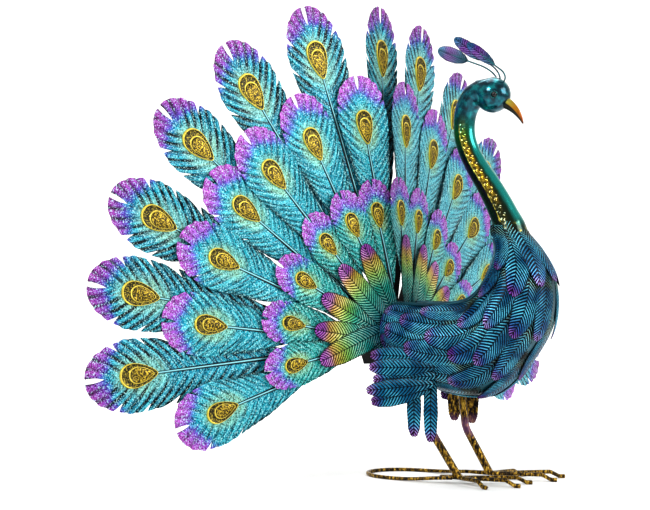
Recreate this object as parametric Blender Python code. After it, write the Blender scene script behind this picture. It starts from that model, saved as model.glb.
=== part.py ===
"""Standing peacock made of painted sheet metal, with a raised fan of stamped feathers."""

import math

import bpy
from mathutils import Matrix, Vector

for old_object in list(bpy.data.objects):
    bpy.data.objects.remove(old_object, do_unlink=True)

MM = 0.001

# Driving dimensions. The bird looks along +X, its left side is +Y and it stands on z = 0.
GAP = 0.3 * MM

# The fan: two flat halves that meet at a fold above the tail.
FAN_ROOT = Vector((-79.3 * MM, 0.0, 130.7 * MM))
FOLD_LEAN = math.radians(4.8)
RIGHT_SWEEP = math.radians(28.8)
LEFT_SWEEP = math.radians(-3.1)
PLATE = 0.9 * MM
LAYER_PITCH = 2.0 * MM
EYE_HEIGHT = 0.8 * MM
STEM_HALF_WIDTH = 2.3 * MM
HUB_RADIUS = 40.0 * MM
HUB_BACK = 13.5 * MM
HUB_TOE = 6.0 * MM
HUB_EDGE_ANGLE = math.radians(112.0)
HUB_OVER_FOLD_RIGHT = 0.6 * MM
HUB_OVER_FOLD_LEFT = 2.2 * MM
HUB_ARC_STEPS = 7
STRUT_THICKNESS = 2.4 * MM
STRUT_DEPTH = 8.0 * MM
STRUT_REACH = 236.0 * MM
STRUT_ROOT_BACK = 8.0 * MM
STRUT_IN_HUB = 12.0 * MM

# Rows of feathers. Each has the tip radius, the eye (point behind the tip, length, half width)
# with its number of sides, the angles from the fold on each half, and how much higher those below
# 90 degrees are pinned.
LOW_ANGLE = 90.0
EYE_NARROWING = 0.45
OUTER_TIP = 350.0 * MM
OUTER_EYE = (74.0 * MM, 38.0 * MM, 13.5 * MM)
OUTER_EYE_SIDES = 8
OUTER_RIGHT = (14.6, 31.2, 47.0, 63.1, 76.9, 92.1)
OUTER_LEFT = (17.6, 34.6, 52.3, 68.0, 82.0, 96.4)
OUTER_RISE = 5.5 * MM
TOP_ANGLE = 5.6
TOP_SET_BACK = 12.0 * MM
TOP_STEM_SLACK = 0.12
# Half outline of a vane: distance from the tip, half width, in millimetres.
OUTER_VANE = (
    (20, 0.9), (0.5, 2.2), (3, 12), (12, 22), (26, 29), (36, 23), (31, 30), (43, 33.5), (55, 33),
    (65, 26), (59, 33), (78, 31), (95, 23), (88, 30), (118, 26), (196, 11), (224, 3.5),
)

MIDDLE_TIP = 273.5 * MM
MIDDLE_EYE = (70.0 * MM, 34.0 * MM, 11.0 * MM)
MIDDLE_EYE_SIDES = 8
MIDDLE_RIGHT = (7.0, 23.5, 38.5, 50.5, 65.0, 81.0, 105.0)
MIDDLE_LEFT = (10.0, 27.0, 42.5, 57.5, 72.0, 87.0, 103.6)
MIDDLE_RISE = 12.0 * MM
MIDDLE_VANE = (
    (16, 0.9), (0.5, 2.0), (3, 12), (11, 22), (24, 28), (33, 22), (28, 28), (44, 30),
    (60, 28), (70, 22), (64, 27), (100, 21), (160, 3.2),
)

INNER_TIP = 170.0 * MM
INNER_EYE = (50.0 * MM, 25.0 * MM, 7.5 * MM)
INNER_EYE_SIDES = 6
INNER_RIGHT = (9.0, 23.5, 38.5, 58.5, 77.0, 99.0)
INNER_LEFT = (2.5, 20.5, 37.5, 55.5, 73.0, 94.0)
INNER_RISE = 12.0 * MM
INNER_VANE = (
    (10, 0.8), (0.5, 1.7), (3.5, 10), (11, 17), (21, 20.5), (27, 15), (24, 20), (42, 21),
    (72, 15.5), (108, 3.0),
)

SMALL_TIP = 112.0 * MM
SMALL_RIGHT = (23.0, 42.0, 61.0, 78.0, 108.0)
SMALL_LEFT = (5.0, 26.0, 43.0, 61.0, 80.0)
SMALL_RISE = 26.0 * MM
SMALL_LEVELS = (0, 1, 0, 1, 2)
SMALL_VANE = ((0, 3), (3, 9), (10, 14), (24, 16), (60, 12), (92, 4.5))
SMALL_BASE = 92.0 * MM
SMALL_BASE_HALF_WIDTH = 3.0 * MM
SMALL_OVERLAP = 0.15 * MM

# The body is lofted through sections from the neck seat round the breast to the tail. Each is
# the back point (x, z), the breast or belly point (x, z) and the half width, in millimetres.
BODY_SECTIONS = (
    (18.5, 242, 55.5, 242, 18.5),
    (24, 236, 68, 226, 26),
    (26, 225, 79.5, 202, 35),
    (24, 215, 82, 175, 43),
    (21, 206, 75.5, 147, 49),
    (17, 197, 57.5, 120, 54),
    (10, 188, 38, 97, 57),
    (-2, 181, 10, 84, 57),
    (-26, 177, -28, 89, 55),
    (-52, 176, -58, 101, 49),
    (-78, 175, -82, 119, 38),
    (-93, 168, -94, 134, 24),
    (-99, 156, -99, 146, 6),
)
FEATHER_COLUMNS = 14
FEATHER_ROW_ENDS = (2.4, 4.0, 5.5, 6.9, 8.3, 9.7)
FEATHER_TIP_REACH = 0.5
FEATHER_FIRST_RISE = 1.1
FEATHER_LAST_RISE = 11.2
FEATHER_RELIEF = 1.7 * MM
FEATHER_MIDDLE_SHARE = 0.6
BACK_BAND_START = math.radians(128.0)
BACK_BAND_FADE = 1.6
CLEARANCE_EXTRA = 0.15 * MM
CLEARANCE_LATE = 0.04

# Neck and head: centre (x, z) and radius along the tube, in millimetres.
NECK_PATH = (
    (37.0, 242.3, 17.8), (35.5, 250, 15.8), (32.2, 258, 14.0), (23.4, 275, 12.8),
    (13.4, 291.7, 11.8), (3.4, 306.5, 11.0), (-5.2, 322.4, 10.5), (-10.0, 337.3, 10.4),
    (-10.4, 352.5, 10.6), (-7.4, 365.8, 11.2), (-1.0, 375.6, 12.2), (8.0, 379.4, 14.0),
)
HEAD_CENTRE = Vector((19.4 * MM, 0.0, 377.2 * MM))
HEAD_RADIUS = 17.4 * MM
HEAD_RING_ANGLES = (118, 98, 78, 58, 38, 18)
HEAD_PITCH = math.radians(-14.0)
NECK_SIDES = 11
EYE_RADIUS = 2.7 * MM
EYE_SUNK = 0.45 * EYE_RADIUS
EYE_SIDES = 8
HEAD_ROOM_SIDES = 24
EYE_TURN = math.radians(66.0)
EYE_RISE = math.radians(-4.0)

# Beak: centre (x, z), half height and half width, in millimetres, from the head outwards.
BEAK_PATH = (
    (30.5, 369.5, 6.4, 5.0), (36.5, 366.0, 5.6, 4.4), (42.5, 360.6, 4.2, 3.4),
    (47.0, 354.6, 2.6, 2.2), (50.3, 348.0, 0.7, 0.7),
)
BEAK_SIDES = 8

# Crest plumes: foot, bend, leaf root and leaf tip as (x, y, z) in millimetres, half width.
CREST_PLUMES = (
    ((24.2, 2.4, 391.0), (15.0, 5.6, 401.0), (-10.9, 10.0, 413.0), (-45.0, 14.0, 426.5), 7.4),
    ((27.4, 0.0, 389.5), (24.5, 0.0, 399.0), (10.0, 0.0, 411.7), (-21.6, 0.0, 435.0), 6.4),
    ((30.4, -2.2, 387.5), (33.2, -4.0, 395.0), (24.6, -9.0, 405.0), (-2.5, -14.0, 427.5), 5.4),
)
CREST_WIRE_RADIUS = 0.8 * MM
CREST_LEAF_THICKNESS = 0.6 * MM
# Stations of a crest leaf: share of its length, share of its half width.
CREST_LEAF_SHARES = ((0.14, 0.55), (0.35, 0.95), (0.6, 1.0), (0.84, 0.7), (1.0, 0.12))
CREST_SIDES = 6

# Legs: bent rods, with three toes each, a heel spur and a loop of rod behind.
HIP_Z = 91.0 * MM
KNEE_Z = 50.0 * MM
THIGH_LEAN = 5.0 * MM
RIGHT_SHANK_REACH = 29.0 * MM
LEFT_SHANK_REACH = 25.5 * MM
FEET_HALF_SPACING = 22.2 * MM
FEET_STAGGER = 7.3 * MM
LEG_RADIUS = 4.0 * MM
LEG_SIDES = 8
BEND_ABOVE_KNEE = Vector((-0.6 * MM, 0.0, 3.0 * MM))
BEND_BELOW_KNEE = Vector((1.6 * MM, 0.0, -3.0 * MM))
TOE_RADIUS = 2.4 * MM
TOE_SIDES = 6
TOE_START_BACK = 2.0 * MM
TOE_ARCH = Vector((0.0, 0.0, 0.6 * MM))
TOE_HEIGHT = 6.0 * MM
CLAW_LENGTH = 15.0 * MM
CLAW_FLAT = 6.0 * MM
RIGHT_TOES = ((-35.0, 48.0), (-2.0, 64.0), (23.0, 71.0))
LEFT_TOES = ((9.0, 67.0), (33.0, 76.0), (56.0, 44.0))
HEEL_LENGTH = 20.0 * MM
HEEL_TAPER = 0.8
LOOP_RADIUS = 2.1 * MM
LOOP_SIDES = 6
LOOP_STEPS = 2
LOOP_POINTS = (
    (-12, -27.2, 4.0), (-30, -27.0, 3.0), (-52, -26.8, 0.8), (-74, -26.0, 0), (-97, -20.5, 0),
    (-112, -7.0, 0), (-117, 9.0, 0), (-112, 25.0, 0), (-97, 37.5, 0), (-74, 42.0, 0),
    (-46, 39.0, 0.8), (-22, 32.0, 3.0), (0, 27.2, 4.0),
)

# Wing and thigh feathers: flat leaves beside the body, pointed, with their half outline as share
# of the length from the root and share of the half width.
LEAF_SHARES = ((0.0, 0.30), (0.25, 0.85), (0.6, 1.0), (0.88, 0.65), (1.0, 0.14))
WING_REAR = -91.0
WING_REAR_Y = 48.5 * MM
WING_FRONT = -20.0
WING_FRONT_Y = 53.0 * MM
LEFT_WING_AHEAD = 31.0
WING_TIPS = ((-90, 124), (-91, 112), (-87, 100), (-94, 89), (-89, 78))
WING_ROOTS = ((-26, 124), (-22, 114), (-20, 106), (-22, 98), (-28, 92))
WING_LEAF_HALF_WIDTH = 8.5 * MM
RIGHT_THIGH_LEAVES = ((-44.0, 45.3), (-26.5, 41.0))
LEFT_THIGH_LEAVES = ((-40.5, 53.0), (-21.5, 51.0))
THIGH_TOP_Z = 118.0 * MM
THIGH_HALF_WIDTH = 7.6 * MM
THIGH_Y = 46.0 * MM


def painted(name, colour, roughness, metallic):
    """A Principled material for one finish of the bird."""
    material = bpy.data.materials.new(name)
    material.use_nodes = True
    shader = material.node_tree.nodes["Principled BSDF"]
    shader.inputs["Base Color"].default_value = (*colour, 1.0)
    shader.inputs["Roughness"].default_value = roughness
    shader.inputs["Metallic"].default_value = metallic
    return material


TURQUOISE = painted("turquoise_paint", (0.03, 0.42, 0.50), 0.40, 0.6)
GREEN = painted("green_gold_paint", (0.30, 0.45, 0.12), 0.40, 0.6)
BODY_TEAL = painted("deep_teal_paint", (0.01, 0.20, 0.30), 0.40, 0.6)
NECK_LACQUER = painted("teal_lacquer", (0.01, 0.22, 0.22), 0.20, 0.8)
BEAK_GOLD = painted("orange_gold_paint", (0.55, 0.28, 0.04), 0.35, 0.7)
CREST_PAINT = painted("violet_paint", (0.12, 0.14, 0.35), 0.40, 0.5)
ANTIQUE_GOLD = painted("antique_gold_paint", (0.35, 0.22, 0.06), 0.45, 0.9)
BLACK = painted("black_paint", (0.01, 0.01, 0.012), 0.55, 0.3)


def solid(name, points, faces, material):
    """A closed mesh object with its faces turned outwards."""
    mesh = bpy.data.meshes.new(name)
    mesh.from_pydata([tuple(point) for point in points], [], faces)
    mesh.materials.append(material)
    mesh.update()
    made = bpy.data.objects.new(name, mesh)
    bpy.context.scene.collection.objects.link(made)
    if signed_volume(mesh) < 0.0:
        mesh.flip_normals()
    return made


def signed_volume(mesh):
    """Volume inside the mesh, negative where its faces point inwards."""
    mesh.calc_loop_triangles()
    total = 0.0
    for triangle in mesh.loop_triangles:
        a, b, c = (mesh.vertices[index].co for index in triangle.vertices)
        total += a.dot(b.cross(c)) / 6.0
    return total


def helper(made):
    """Mark an object as a cutter or an added form that is not a piece of its own."""
    made.hide_render = True
    made.display_type = "WIRE"
    return made


def combine(target, other, operation):
    """Join or cut a piece with a helper by a Boolean modifier."""
    helper(other)
    change = target.modifiers.new(operation.lower(), "BOOLEAN")
    change.operation = operation
    change.solver = "EXACT"
    change.object = other


def loft(name, rings, material):
    """A closed skin over rings that all have the same number of points."""
    count = len(rings[0])
    points = [point for ring in rings for point in ring]
    faces = [list(range(count))]
    for row in range(len(rings) - 1):
        for column in range(count):
            after = (column + 1) % count
            faces.append([row * count + column, (row + 1) * count + column,
                          (row + 1) * count + after, row * count + after])
    last = (len(rings) - 1) * count
    faces.append([last + column for column in reversed(range(count))])
    return solid(name, points, faces, material)


def plate(name, outline, place, low, high, material):
    """A flat sheet: a closed outline (across, along) between two heights."""
    count = len(outline)
    points = [place(across, along, low) for across, along in outline]
    points += [place(across, along, high) for across, along in outline]
    faces = [list(range(count)), list(reversed(range(count, 2 * count)))]
    for index in range(count):
        after = (index + 1) % count
        faces.append([index, count + index, count + after, after])
    return solid(name, points, faces, material)


def smooth_values(controls, position):
    """Catmull-Rom reading of a list of equal tuples at a fractional index."""
    last = len(controls) - 1
    index = min(int(position), last - 1)
    share = position - index
    before = controls[max(index - 1, 0)]
    start = controls[index]
    end = controls[index + 1]
    after = controls[min(index + 2, last)]
    values = []
    for a, b, c, d in zip(before, start, end, after):
        curve = 2 * b + (c - a) * share + (2 * a - 5 * b + 4 * c - d) * share ** 2
        curve += (3 * b - a - 3 * c + d) * share ** 3
        values.append(curve / 2)
    return values


def rod_rings(points, radii, sides, level_from=None):
    """Rings of a round rod along points, a flat side down; the last ones can stand upright."""
    rings = []
    for index, point in enumerate(points):
        ahead = points[min(index + 1, len(points) - 1)]
        behind = points[max(index - 1, 0)]
        along = ahead - behind
        if level_from is not None and index >= level_from:
            along.z = 0.0
        along.normalize()
        side = along.cross(Vector((0.0, 0.0, 1.0)))
        if side.length < 1e-3:
            side = Vector((0.0, 1.0, 0.0))
        side.normalize()
        up = side.cross(along)
        ring = []
        for corner in range(sides):
            angle = 2 * math.pi * (corner + 0.5) / sides
            ring.append(point + side * (radii[index] * math.sin(angle))
                        + up * (radii[index] * math.cos(angle)))
        rings.append(ring)
    return rings


# The fan

FOLD = Vector((-math.sin(FOLD_LEAN), 0.0, math.cos(FOLD_LEAN)))


class FanHalf:
    """One flat half of the fan, with its own outward and forward directions."""

    def __init__(self, side, sweep):
        outward = Vector((-math.sin(sweep), side * math.cos(sweep), 0.0))
        self.outward = (outward - FOLD * outward.dot(FOLD)).normalized()
        self.forward = self.outward.cross(FOLD) * side
        self.side = side

    def place(self, angle, set_back=0.0, rise=0.0):
        """A function that puts (across, along, lift) on the feather at an angle."""
        turn = math.radians(angle)
        along_axis = FOLD * math.cos(turn) + self.outward * math.sin(turn)
        across_axis = self.outward * math.cos(turn) - FOLD * math.sin(turn)

        def put(across, along, lift):
            return (FAN_ROOT + FOLD * rise + along_axis * along + across_axis * across
                    + self.forward * (lift - set_back))
        return put


RIGHT_HALF = FanHalf(-1, RIGHT_SWEEP)
LEFT_HALF = FanHalf(1, LEFT_SWEEP)


def feather_outline(tip, half_vane, base, base_half_width):
    """Whole outline (across, along) of a feather from its half vane in millimetres."""
    right = [(width * MM, tip - back * MM) for back, width in half_vane]
    right.append((base_half_width, base))
    left = [(-across, along) for across, along in reversed(right)]
    return right + left


def eye_outline(tip, eye, sides):
    """Teardrop outline of the raised eye; its point looks to the root."""
    point_back, length, half_width = eye
    outline = []
    for corner in range(sides):
        angle = 2 * math.pi * corner / sides
        taper = 0.5 + 0.5 * math.cos(angle)
        along = tip - point_back + length * (1 - math.cos(angle)) / 2
        across = half_width * math.sin(angle) * (1 - EYE_NARROWING * taper)
        outline.append((across, along))
    return outline


def pinned(angle, row_rise):
    """How much higher than the others a feather at an angle is pinned."""
    return row_rise if angle > LOW_ANGLE else 0.0


def stem_start(angle, rise, radius):
    """Distance along a feather at which it leaves a circle round the fan's root."""
    turn = math.radians(angle)
    clear = radius + STEM_HALF_WIDTH * rise / radius
    return math.sqrt(clear ** 2 - (rise * math.sin(turn)) ** 2) - rise * math.cos(turn)


def feather(name, half, angle, row, layer, set_back=0.0):
    """One stamped feather with a raised eye."""
    tip, vane, eye, eye_sides, row_rise = row
    low = layer * LAYER_PITCH
    rise = pinned(angle, row_rise)
    place = half.place(angle, set_back, rise)
    base = stem_start(angle, rise, HUB_RADIUS + GAP + set_back * TOP_STEM_SLACK)
    outline = feather_outline(tip, vane, base, STEM_HALF_WIDTH)
    made = plate(name, outline, place, low, low + PLATE, TURQUOISE)
    raised = plate("eye_of_" + name, eye_outline(tip, eye, eye_sides), place,
                   low + PLATE / 2, low + PLATE + EYE_HEIGHT, TURQUOISE)
    combine(made, raised, "UNION")
    return made


OUTER_ROW = (OUTER_TIP, OUTER_VANE, OUTER_EYE, OUTER_EYE_SIDES, OUTER_RISE)
MIDDLE_ROW = (MIDDLE_TIP, MIDDLE_VANE, MIDDLE_EYE, MIDDLE_EYE_SIDES, MIDDLE_RISE)
INNER_ROW = (INNER_TIP, INNER_VANE, INNER_EYE, INNER_EYE_SIDES, INNER_RISE)
HALVES = ((RIGHT_HALF, "right"), (LEFT_HALF, "left"))

feather("outer_feather_top", LEFT_HALF, TOP_ANGLE, OUTER_ROW, 0, TOP_SET_BACK)
for half, side_name in HALVES:
    outer_angles = OUTER_RIGHT if half is RIGHT_HALF else OUTER_LEFT
    middle_angles = MIDDLE_RIGHT if half is RIGHT_HALF else MIDDLE_LEFT
    inner_angles = INNER_RIGHT if half is RIGHT_HALF else INNER_LEFT
    for number, angle in enumerate(outer_angles, 1):
        feather(f"outer_feather_{side_name}_{number}", half, angle, OUTER_ROW, 0)
    for number, angle in enumerate(middle_angles, 1):
        feather(f"middle_feather_{side_name}_{number}", half, angle, MIDDLE_ROW, 1 + number % 2)
    for number, angle in enumerate(inner_angles, 1):
        first_layer = 3 if half is RIGHT_HALF else 4
        other_layer = 7 - first_layer
        layer = first_layer if number % 2 else other_layer
        feather(f"inner_feather_{side_name}_{number}", half, angle, INNER_ROW, layer)

SMALL_LIFT = 5 * LAYER_PITCH


def small_feathers(name, half, angles):
    """The small leaves over the hub, laid over each other and welded."""
    outline = feather_outline(SMALL_TIP, SMALL_VANE, SMALL_TIP - SMALL_BASE - GAP,
                              SMALL_BASE_HALF_WIDTH)
    first = None
    for number, angle in enumerate(angles):
        low = SMALL_LIFT + SMALL_LEVELS[number] * (PLATE - SMALL_OVERLAP)
        leaf_name = name if first is None else f"{name}_leaf_{number}"
        place = half.place(angle, 0.0, pinned(angle, SMALL_RISE))
        leaf = plate(leaf_name, outline, place, low, low + PLATE, GREEN)
        if first is None:
            first = leaf
        else:
            combine(first, leaf, "UNION")
    return first


small_feathers("small_feathers_right", RIGHT_HALF, SMALL_RIGHT)
small_feathers("small_feathers_left", LEFT_HALF, SMALL_LEFT)
SMALL_TOP = SMALL_LIFT + PLATE + max(SMALL_LEVELS) * (PLATE - SMALL_OVERLAP)


def hub_sector(name, half, over_fold):
    """A thick sector of plate that the stems of one half butt against."""
    outline = [(-over_fold, -HUB_TOE)]
    first_angle = -over_fold / HUB_RADIUS
    for step in range(HUB_ARC_STEPS + 1):
        angle = first_angle + (HUB_EDGE_ANGLE - first_angle) * step / HUB_ARC_STEPS
        outline.append((HUB_RADIUS * math.sin(angle), HUB_RADIUS * math.cos(angle)))
    return plate(name, outline, half.place(0.0), -HUB_BACK, SMALL_LIFT - GAP, BLACK)


def strut(name, half, angle, front):
    """A flat bar on edge behind one outer feather."""
    place = half.place(angle, 0.0, pinned(angle, OUTER_RISE))
    root_front = min(-STRUT_ROOT_BACK, front)
    corners = []
    for along, near in ((HUB_RADIUS - STRUT_IN_HUB, root_front), (STRUT_REACH, front)):
        for across in (-STRUT_THICKNESS / 2, STRUT_THICKNESS / 2):
            for lift in (near, near - STRUT_DEPTH):
                corners.append(place(across, along, lift))
    faces = [[0, 1, 3, 2], [4, 6, 7, 5], [0, 4, 5, 1], [2, 3, 7, 6], [0, 2, 6, 4], [1, 5, 7, 3]]
    return solid(name, corners, faces, BLACK)


fan_frame = hub_sector("fan_frame", RIGHT_HALF, HUB_OVER_FOLD_RIGHT)
combine(fan_frame, hub_sector("hub_left", LEFT_HALF, HUB_OVER_FOLD_LEFT), "UNION")
combine(fan_frame, strut("strut_top", LEFT_HALF, TOP_ANGLE, -TOP_SET_BACK - GAP), "UNION")
for half, side_name in HALVES:
    angles = OUTER_RIGHT if half is RIGHT_HALF else OUTER_LEFT
    for number, angle in enumerate(angles, 1):
        bar = strut(f"strut_{side_name}_{number}", half, angle, -GAP)
        combine(fan_frame, bar, "UNION")

# The body


def body_point(position, angle, relief):
    """A point on the body: position along the sections, angle from the belly line."""
    back_x, back_z, belly_x, belly_z, half_width = smooth_values(BODY_SECTIONS, position)
    back = Vector((back_x, 0.0, back_z)) * MM
    belly = Vector((belly_x, 0.0, belly_z)) * MM
    centre = (back + belly) / 2
    reach = (belly - back) / 2
    side = Vector((0.0, half_width * MM, 0.0))
    outward = reach.normalized() * math.cos(angle) * side.length
    outward += Vector((0.0, 1.0, 0.0)) * math.sin(angle) * reach.length
    return (centre + reach * math.cos(angle) + side * math.sin(angle)
            + outward.normalized() * relief)


def body_ring(position, share, tips_from=None, spare=0.0):
    """A ring round the body; tips_from staggers a scalloped feather edge."""
    count = 2 * FEATHER_COLUMNS
    ring = []
    for corner in range(count):
        angle = 2 * math.pi * corner / count - math.pi
        away = max(0.0, (abs(angle) - BACK_BAND_START) / (math.pi - BACK_BAND_START))
        fade = 1.0 - min(1.0, away * BACK_BAND_FADE)
        reach = 0.0
        if tips_from is not None and (corner + tips_from) % 2:
            reach = FEATHER_TIP_REACH * fade
        ring.append(body_point(position + reach, angle, FEATHER_RELIEF * share * fade + spare))
    return ring


def body_form(name, spare, late):
    """The whole body, or a form that is a little larger all round."""
    rings = [body_ring(0.0, 0.0, None, spare)]
    rings.append(body_ring(FEATHER_FIRST_RISE, FEATHER_MIDDLE_SHARE, None, spare))
    for number, row_end in enumerate(FEATHER_ROW_ENDS):
        rings.append(body_ring(row_end + late, 1.0, number, spare))
        rings.append(body_ring(row_end + late, 0.0, number, spare))
        following = (*FEATHER_ROW_ENDS, FEATHER_LAST_RISE)[number + 1]
        middle = (row_end + FEATHER_TIP_REACH + following) / 2
        rings.append(body_ring(middle, FEATHER_MIDDLE_SHARE, None, spare))
    rings.append(body_ring(FEATHER_LAST_RISE, FEATHER_MIDDLE_SHARE / 2, None, spare))
    rings.append(body_ring(len(BODY_SECTIONS) - 1, 0.0, None, spare))
    return loft(name, rings, BODY_TEAL)


body = body_form("body", 0.0, 0.0)
body_room = helper(body_form("body_clearance", GAP + CLEARANCE_EXTRA, CLEARANCE_LATE))


def fan_clearance():
    """A wedge that holds the fan, with its edge just ahead of the fold."""
    ahead = SMALL_TOP + GAP
    right_normal = RIGHT_HALF.forward
    left_normal = LEFT_HALF.forward
    between = (right_normal + left_normal).normalized()
    apex = FAN_ROOT + between * (ahead / between.dot(right_normal))
    plan = [apex, apex + RIGHT_HALF.outward * SMALL_TIP * 2,
            apex - between * SMALL_TIP * 2, apex + LEFT_HALF.outward * SMALL_TIP * 2]
    points = [corner - FOLD * SMALL_TIP * 2 for corner in plan]
    points += [corner + FOLD * SMALL_TIP * 2 for corner in plan]
    faces = [[0, 1, 2, 3], [7, 6, 5, 4]]
    for index in range(4):
        after = (index + 1) % 4
        faces.append([index, 4 + index, 4 + after, after])
    return solid("fan_clearance", points, faces, BLACK)


combine(body, fan_clearance(), "DIFFERENCE")
small_half_width = max(half_width for back, half_width in SMALL_VANE) * MM
over_fold = small_half_width + HUB_TOE
fold_outline = [(-over_fold, -SMALL_TIP), (HUB_TOE, -SMALL_TIP),
                (HUB_TOE, SMALL_TIP), (-over_fold, SMALL_TIP)]
fold_room = plate("fold_clearance", fold_outline, LEFT_HALF.place(0.0), -HUB_BACK,
                  SMALL_TOP + GAP, BLACK)
combine(body, fold_room, "DIFFERENCE")

# Neck, head and beak


def neck_rings():
    """Rings up the neck and over the head, all square to the tube."""
    centres = [Vector((x, 0.0, z)) * MM for x, z, radius in NECK_PATH]
    rings = []
    sides = NECK_SIDES
    for index, centre in enumerate(centres):
        ahead = centres[index + 1] if index + 1 < len(centres) else HEAD_CENTRE
        behind = centres[max(index - 1, 0)]
        along = (ahead - behind).normalized()
        if index == 0:
            along = Vector((0.0, 0.0, 1.0))
        across = Vector((along.z, 0.0, -along.x))
        radius = NECK_PATH[index][2] * MM
        rings.append([centre + across * (radius * math.cos(2 * math.pi * k / sides))
                      + Vector((0.0, radius * math.sin(2 * math.pi * k / sides), 0.0))
                      for k in range(sides)])
    along = Vector((math.cos(HEAD_PITCH), 0.0, math.sin(HEAD_PITCH)))
    across = Vector((along.z, 0.0, -along.x))
    for degrees in HEAD_RING_ANGLES:
        turn = math.radians(degrees)
        centre = HEAD_CENTRE + along * (HEAD_RADIUS * math.cos(turn))
        radius = HEAD_RADIUS * math.sin(turn)
        rings.append([centre + across * (radius * math.cos(2 * math.pi * k / sides))
                      + Vector((0.0, radius * math.sin(2 * math.pi * k / sides), 0.0))
                      for k in range(sides)])
    return rings


neck = loft("neck_and_head", neck_rings(), NECK_LACQUER)


def ball(name, centre, radius, sides, material):
    """A faceted ball as a loft of level rings."""
    rings = []
    rows = sides // 2
    for row in range(rows):
        turn = math.pi * (row + 0.5) / rows
        rings.append([centre + Vector((radius * math.sin(turn) * math.cos(2 * math.pi * k / sides),
                                       radius * math.sin(turn) * math.sin(2 * math.pi * k / sides),
                                       radius * math.cos(turn))) for k in range(sides)])
    return loft(name, rings, material)


for side in (-1, 1):
    gaze = Vector((math.cos(EYE_TURN) * math.cos(EYE_RISE),
                   side * math.sin(EYE_TURN) * math.cos(EYE_RISE), math.sin(EYE_RISE)))
    eye = ball(f"eye_{side}", HEAD_CENTRE + gaze * (HEAD_RADIUS - EYE_SUNK),
               EYE_RADIUS, EYE_SIDES, NECK_LACQUER)
    combine(neck, eye, "UNION")


def beak():
    """The curved beak, cut to sit on the head."""
    centres = [Vector((x, 0.0, z)) * MM for x, z, half_height, half_width in BEAK_PATH]
    rings = []
    sides = BEAK_SIDES
    for index, centre in enumerate(centres):
        ahead = centres[min(index + 1, len(centres) - 1)]
        behind = centres[max(index - 1, 0)]
        along = (ahead - behind).normalized()
        across = Vector((along.z, 0.0, -along.x))
        half_height, half_width = BEAK_PATH[index][2] * MM, BEAK_PATH[index][3] * MM
        rings.append([centre + across * (half_height * math.cos(2 * math.pi * k / sides))
                      + Vector((0.0, half_width * math.sin(2 * math.pi * k / sides), 0.0))
                      for k in range(sides)])
    made = loft("beak", rings, BEAK_GOLD)
    combine(made, head_room, "DIFFERENCE")
    return made


head_room = helper(ball("head_clearance", HEAD_CENTRE, HEAD_RADIUS + GAP, HEAD_ROOM_SIDES, BLACK))
beak()

# The crest


def crest_plume(name, foot, bend, leaf_root, leaf_tip, half_width):
    """A wire that flattens into a leaf, cut to stand on the head."""
    start, middle, root, tip = (Vector(point) * MM for point in (foot, bend, leaf_root, leaf_tip))
    stations = [(start, CREST_WIRE_RADIUS, CREST_WIRE_RADIUS),
                (middle, CREST_WIRE_RADIUS, CREST_WIRE_RADIUS),
                (root, CREST_WIRE_RADIUS, CREST_WIRE_RADIUS)]
    for share, width_share in CREST_LEAF_SHARES:
        stations.append((root.lerp(tip, share), half_width * MM * width_share,
                         CREST_LEAF_THICKNESS))
    rings = []
    sides = CREST_SIDES
    for index, (centre, width, thickness) in enumerate(stations):
        ahead = stations[min(index + 1, len(stations) - 1)][0]
        behind = stations[max(index - 1, 0)][0]
        along = (ahead - behind).normalized()
        thin = along.cross(Vector((0.0, 0.0, 1.0))).normalized()
        wide = thin.cross(along)
        rings.append([centre + wide * (width * math.cos(2 * math.pi * k / sides))
                      + thin * (thickness * math.sin(2 * math.pi * k / sides))
                      for k in range(sides)])
    made = loft(name, rings, CREST_PAINT)
    combine(made, head_room, "DIFFERENCE")
    return made


for number, plume in enumerate(CREST_PLUMES, 1):
    crest_plume(f"crest_plume_{number}", *plume)

# Legs, feet and the loop behind them


def foot_centre(side):
    """The point on the floor under one ankle."""
    return Vector((side * FEET_STAGGER, side * FEET_HALF_SPACING, 0.0))


def leg(side, toes, side_name):
    """One leg: a bent rod with toes and a heel spur welded under it."""
    ground = foot_centre(side)
    ankle = ground + Vector((0.0, 0.0, TOE_HEIGHT))
    reach_back = RIGHT_SHANK_REACH if side < 0 else LEFT_SHANK_REACH
    knee = ankle + Vector((-reach_back, 0.0, KNEE_Z - TOE_HEIGHT))
    hip = knee + Vector((-THIGH_LEAN, 0.0, HIP_Z - KNEE_Z))
    path = [hip, knee + BEND_ABOVE_KNEE, knee + BEND_BELOW_KNEE, ankle]
    rings = rod_rings(path, [LEG_RADIUS] * len(path), LEG_SIDES)
    made = loft(f"leg_{side_name}", rings, ANTIQUE_GOLD)
    floor_rise = Vector((0.0, 0.0, TOE_RADIUS * math.cos(math.pi / TOE_SIDES)))
    for number, (degrees, length) in enumerate(toes):
        turn = math.radians(degrees)
        way = Vector((math.cos(turn), math.sin(turn), 0.0))
        reach = length * MM
        start = ankle - way * TOE_START_BACK
        shoulder = ankle + way * (reach - CLAW_LENGTH) + TOE_ARCH
        touch = ground + way * (reach - CLAW_FLAT) + floor_rise
        tip = touch + way * CLAW_FLAT
        path = [start, shoulder, touch, tip]
        rings = rod_rings(path, [TOE_RADIUS] * len(path), TOE_SIDES, len(path) - 2)
        rod = loft(f"toe_{side_name}_{number}", rings, ANTIQUE_GOLD)
        combine(made, rod, "UNION")
    heel_way = Vector((-1.0, 0.0, 0.0))
    heel_radii = [TOE_RADIUS, TOE_RADIUS * HEEL_TAPER]
    rings = rod_rings([ankle, ankle + heel_way * HEEL_LENGTH], heel_radii, TOE_SIDES)
    heel = loft(f"heel_{side_name}", rings, ANTIQUE_GOLD)
    combine(made, heel, "UNION")
    combine(made, body_room, "DIFFERENCE")
    return made


leg(-1, RIGHT_TOES, "right")
leg(1, LEFT_TOES, "left")


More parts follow.
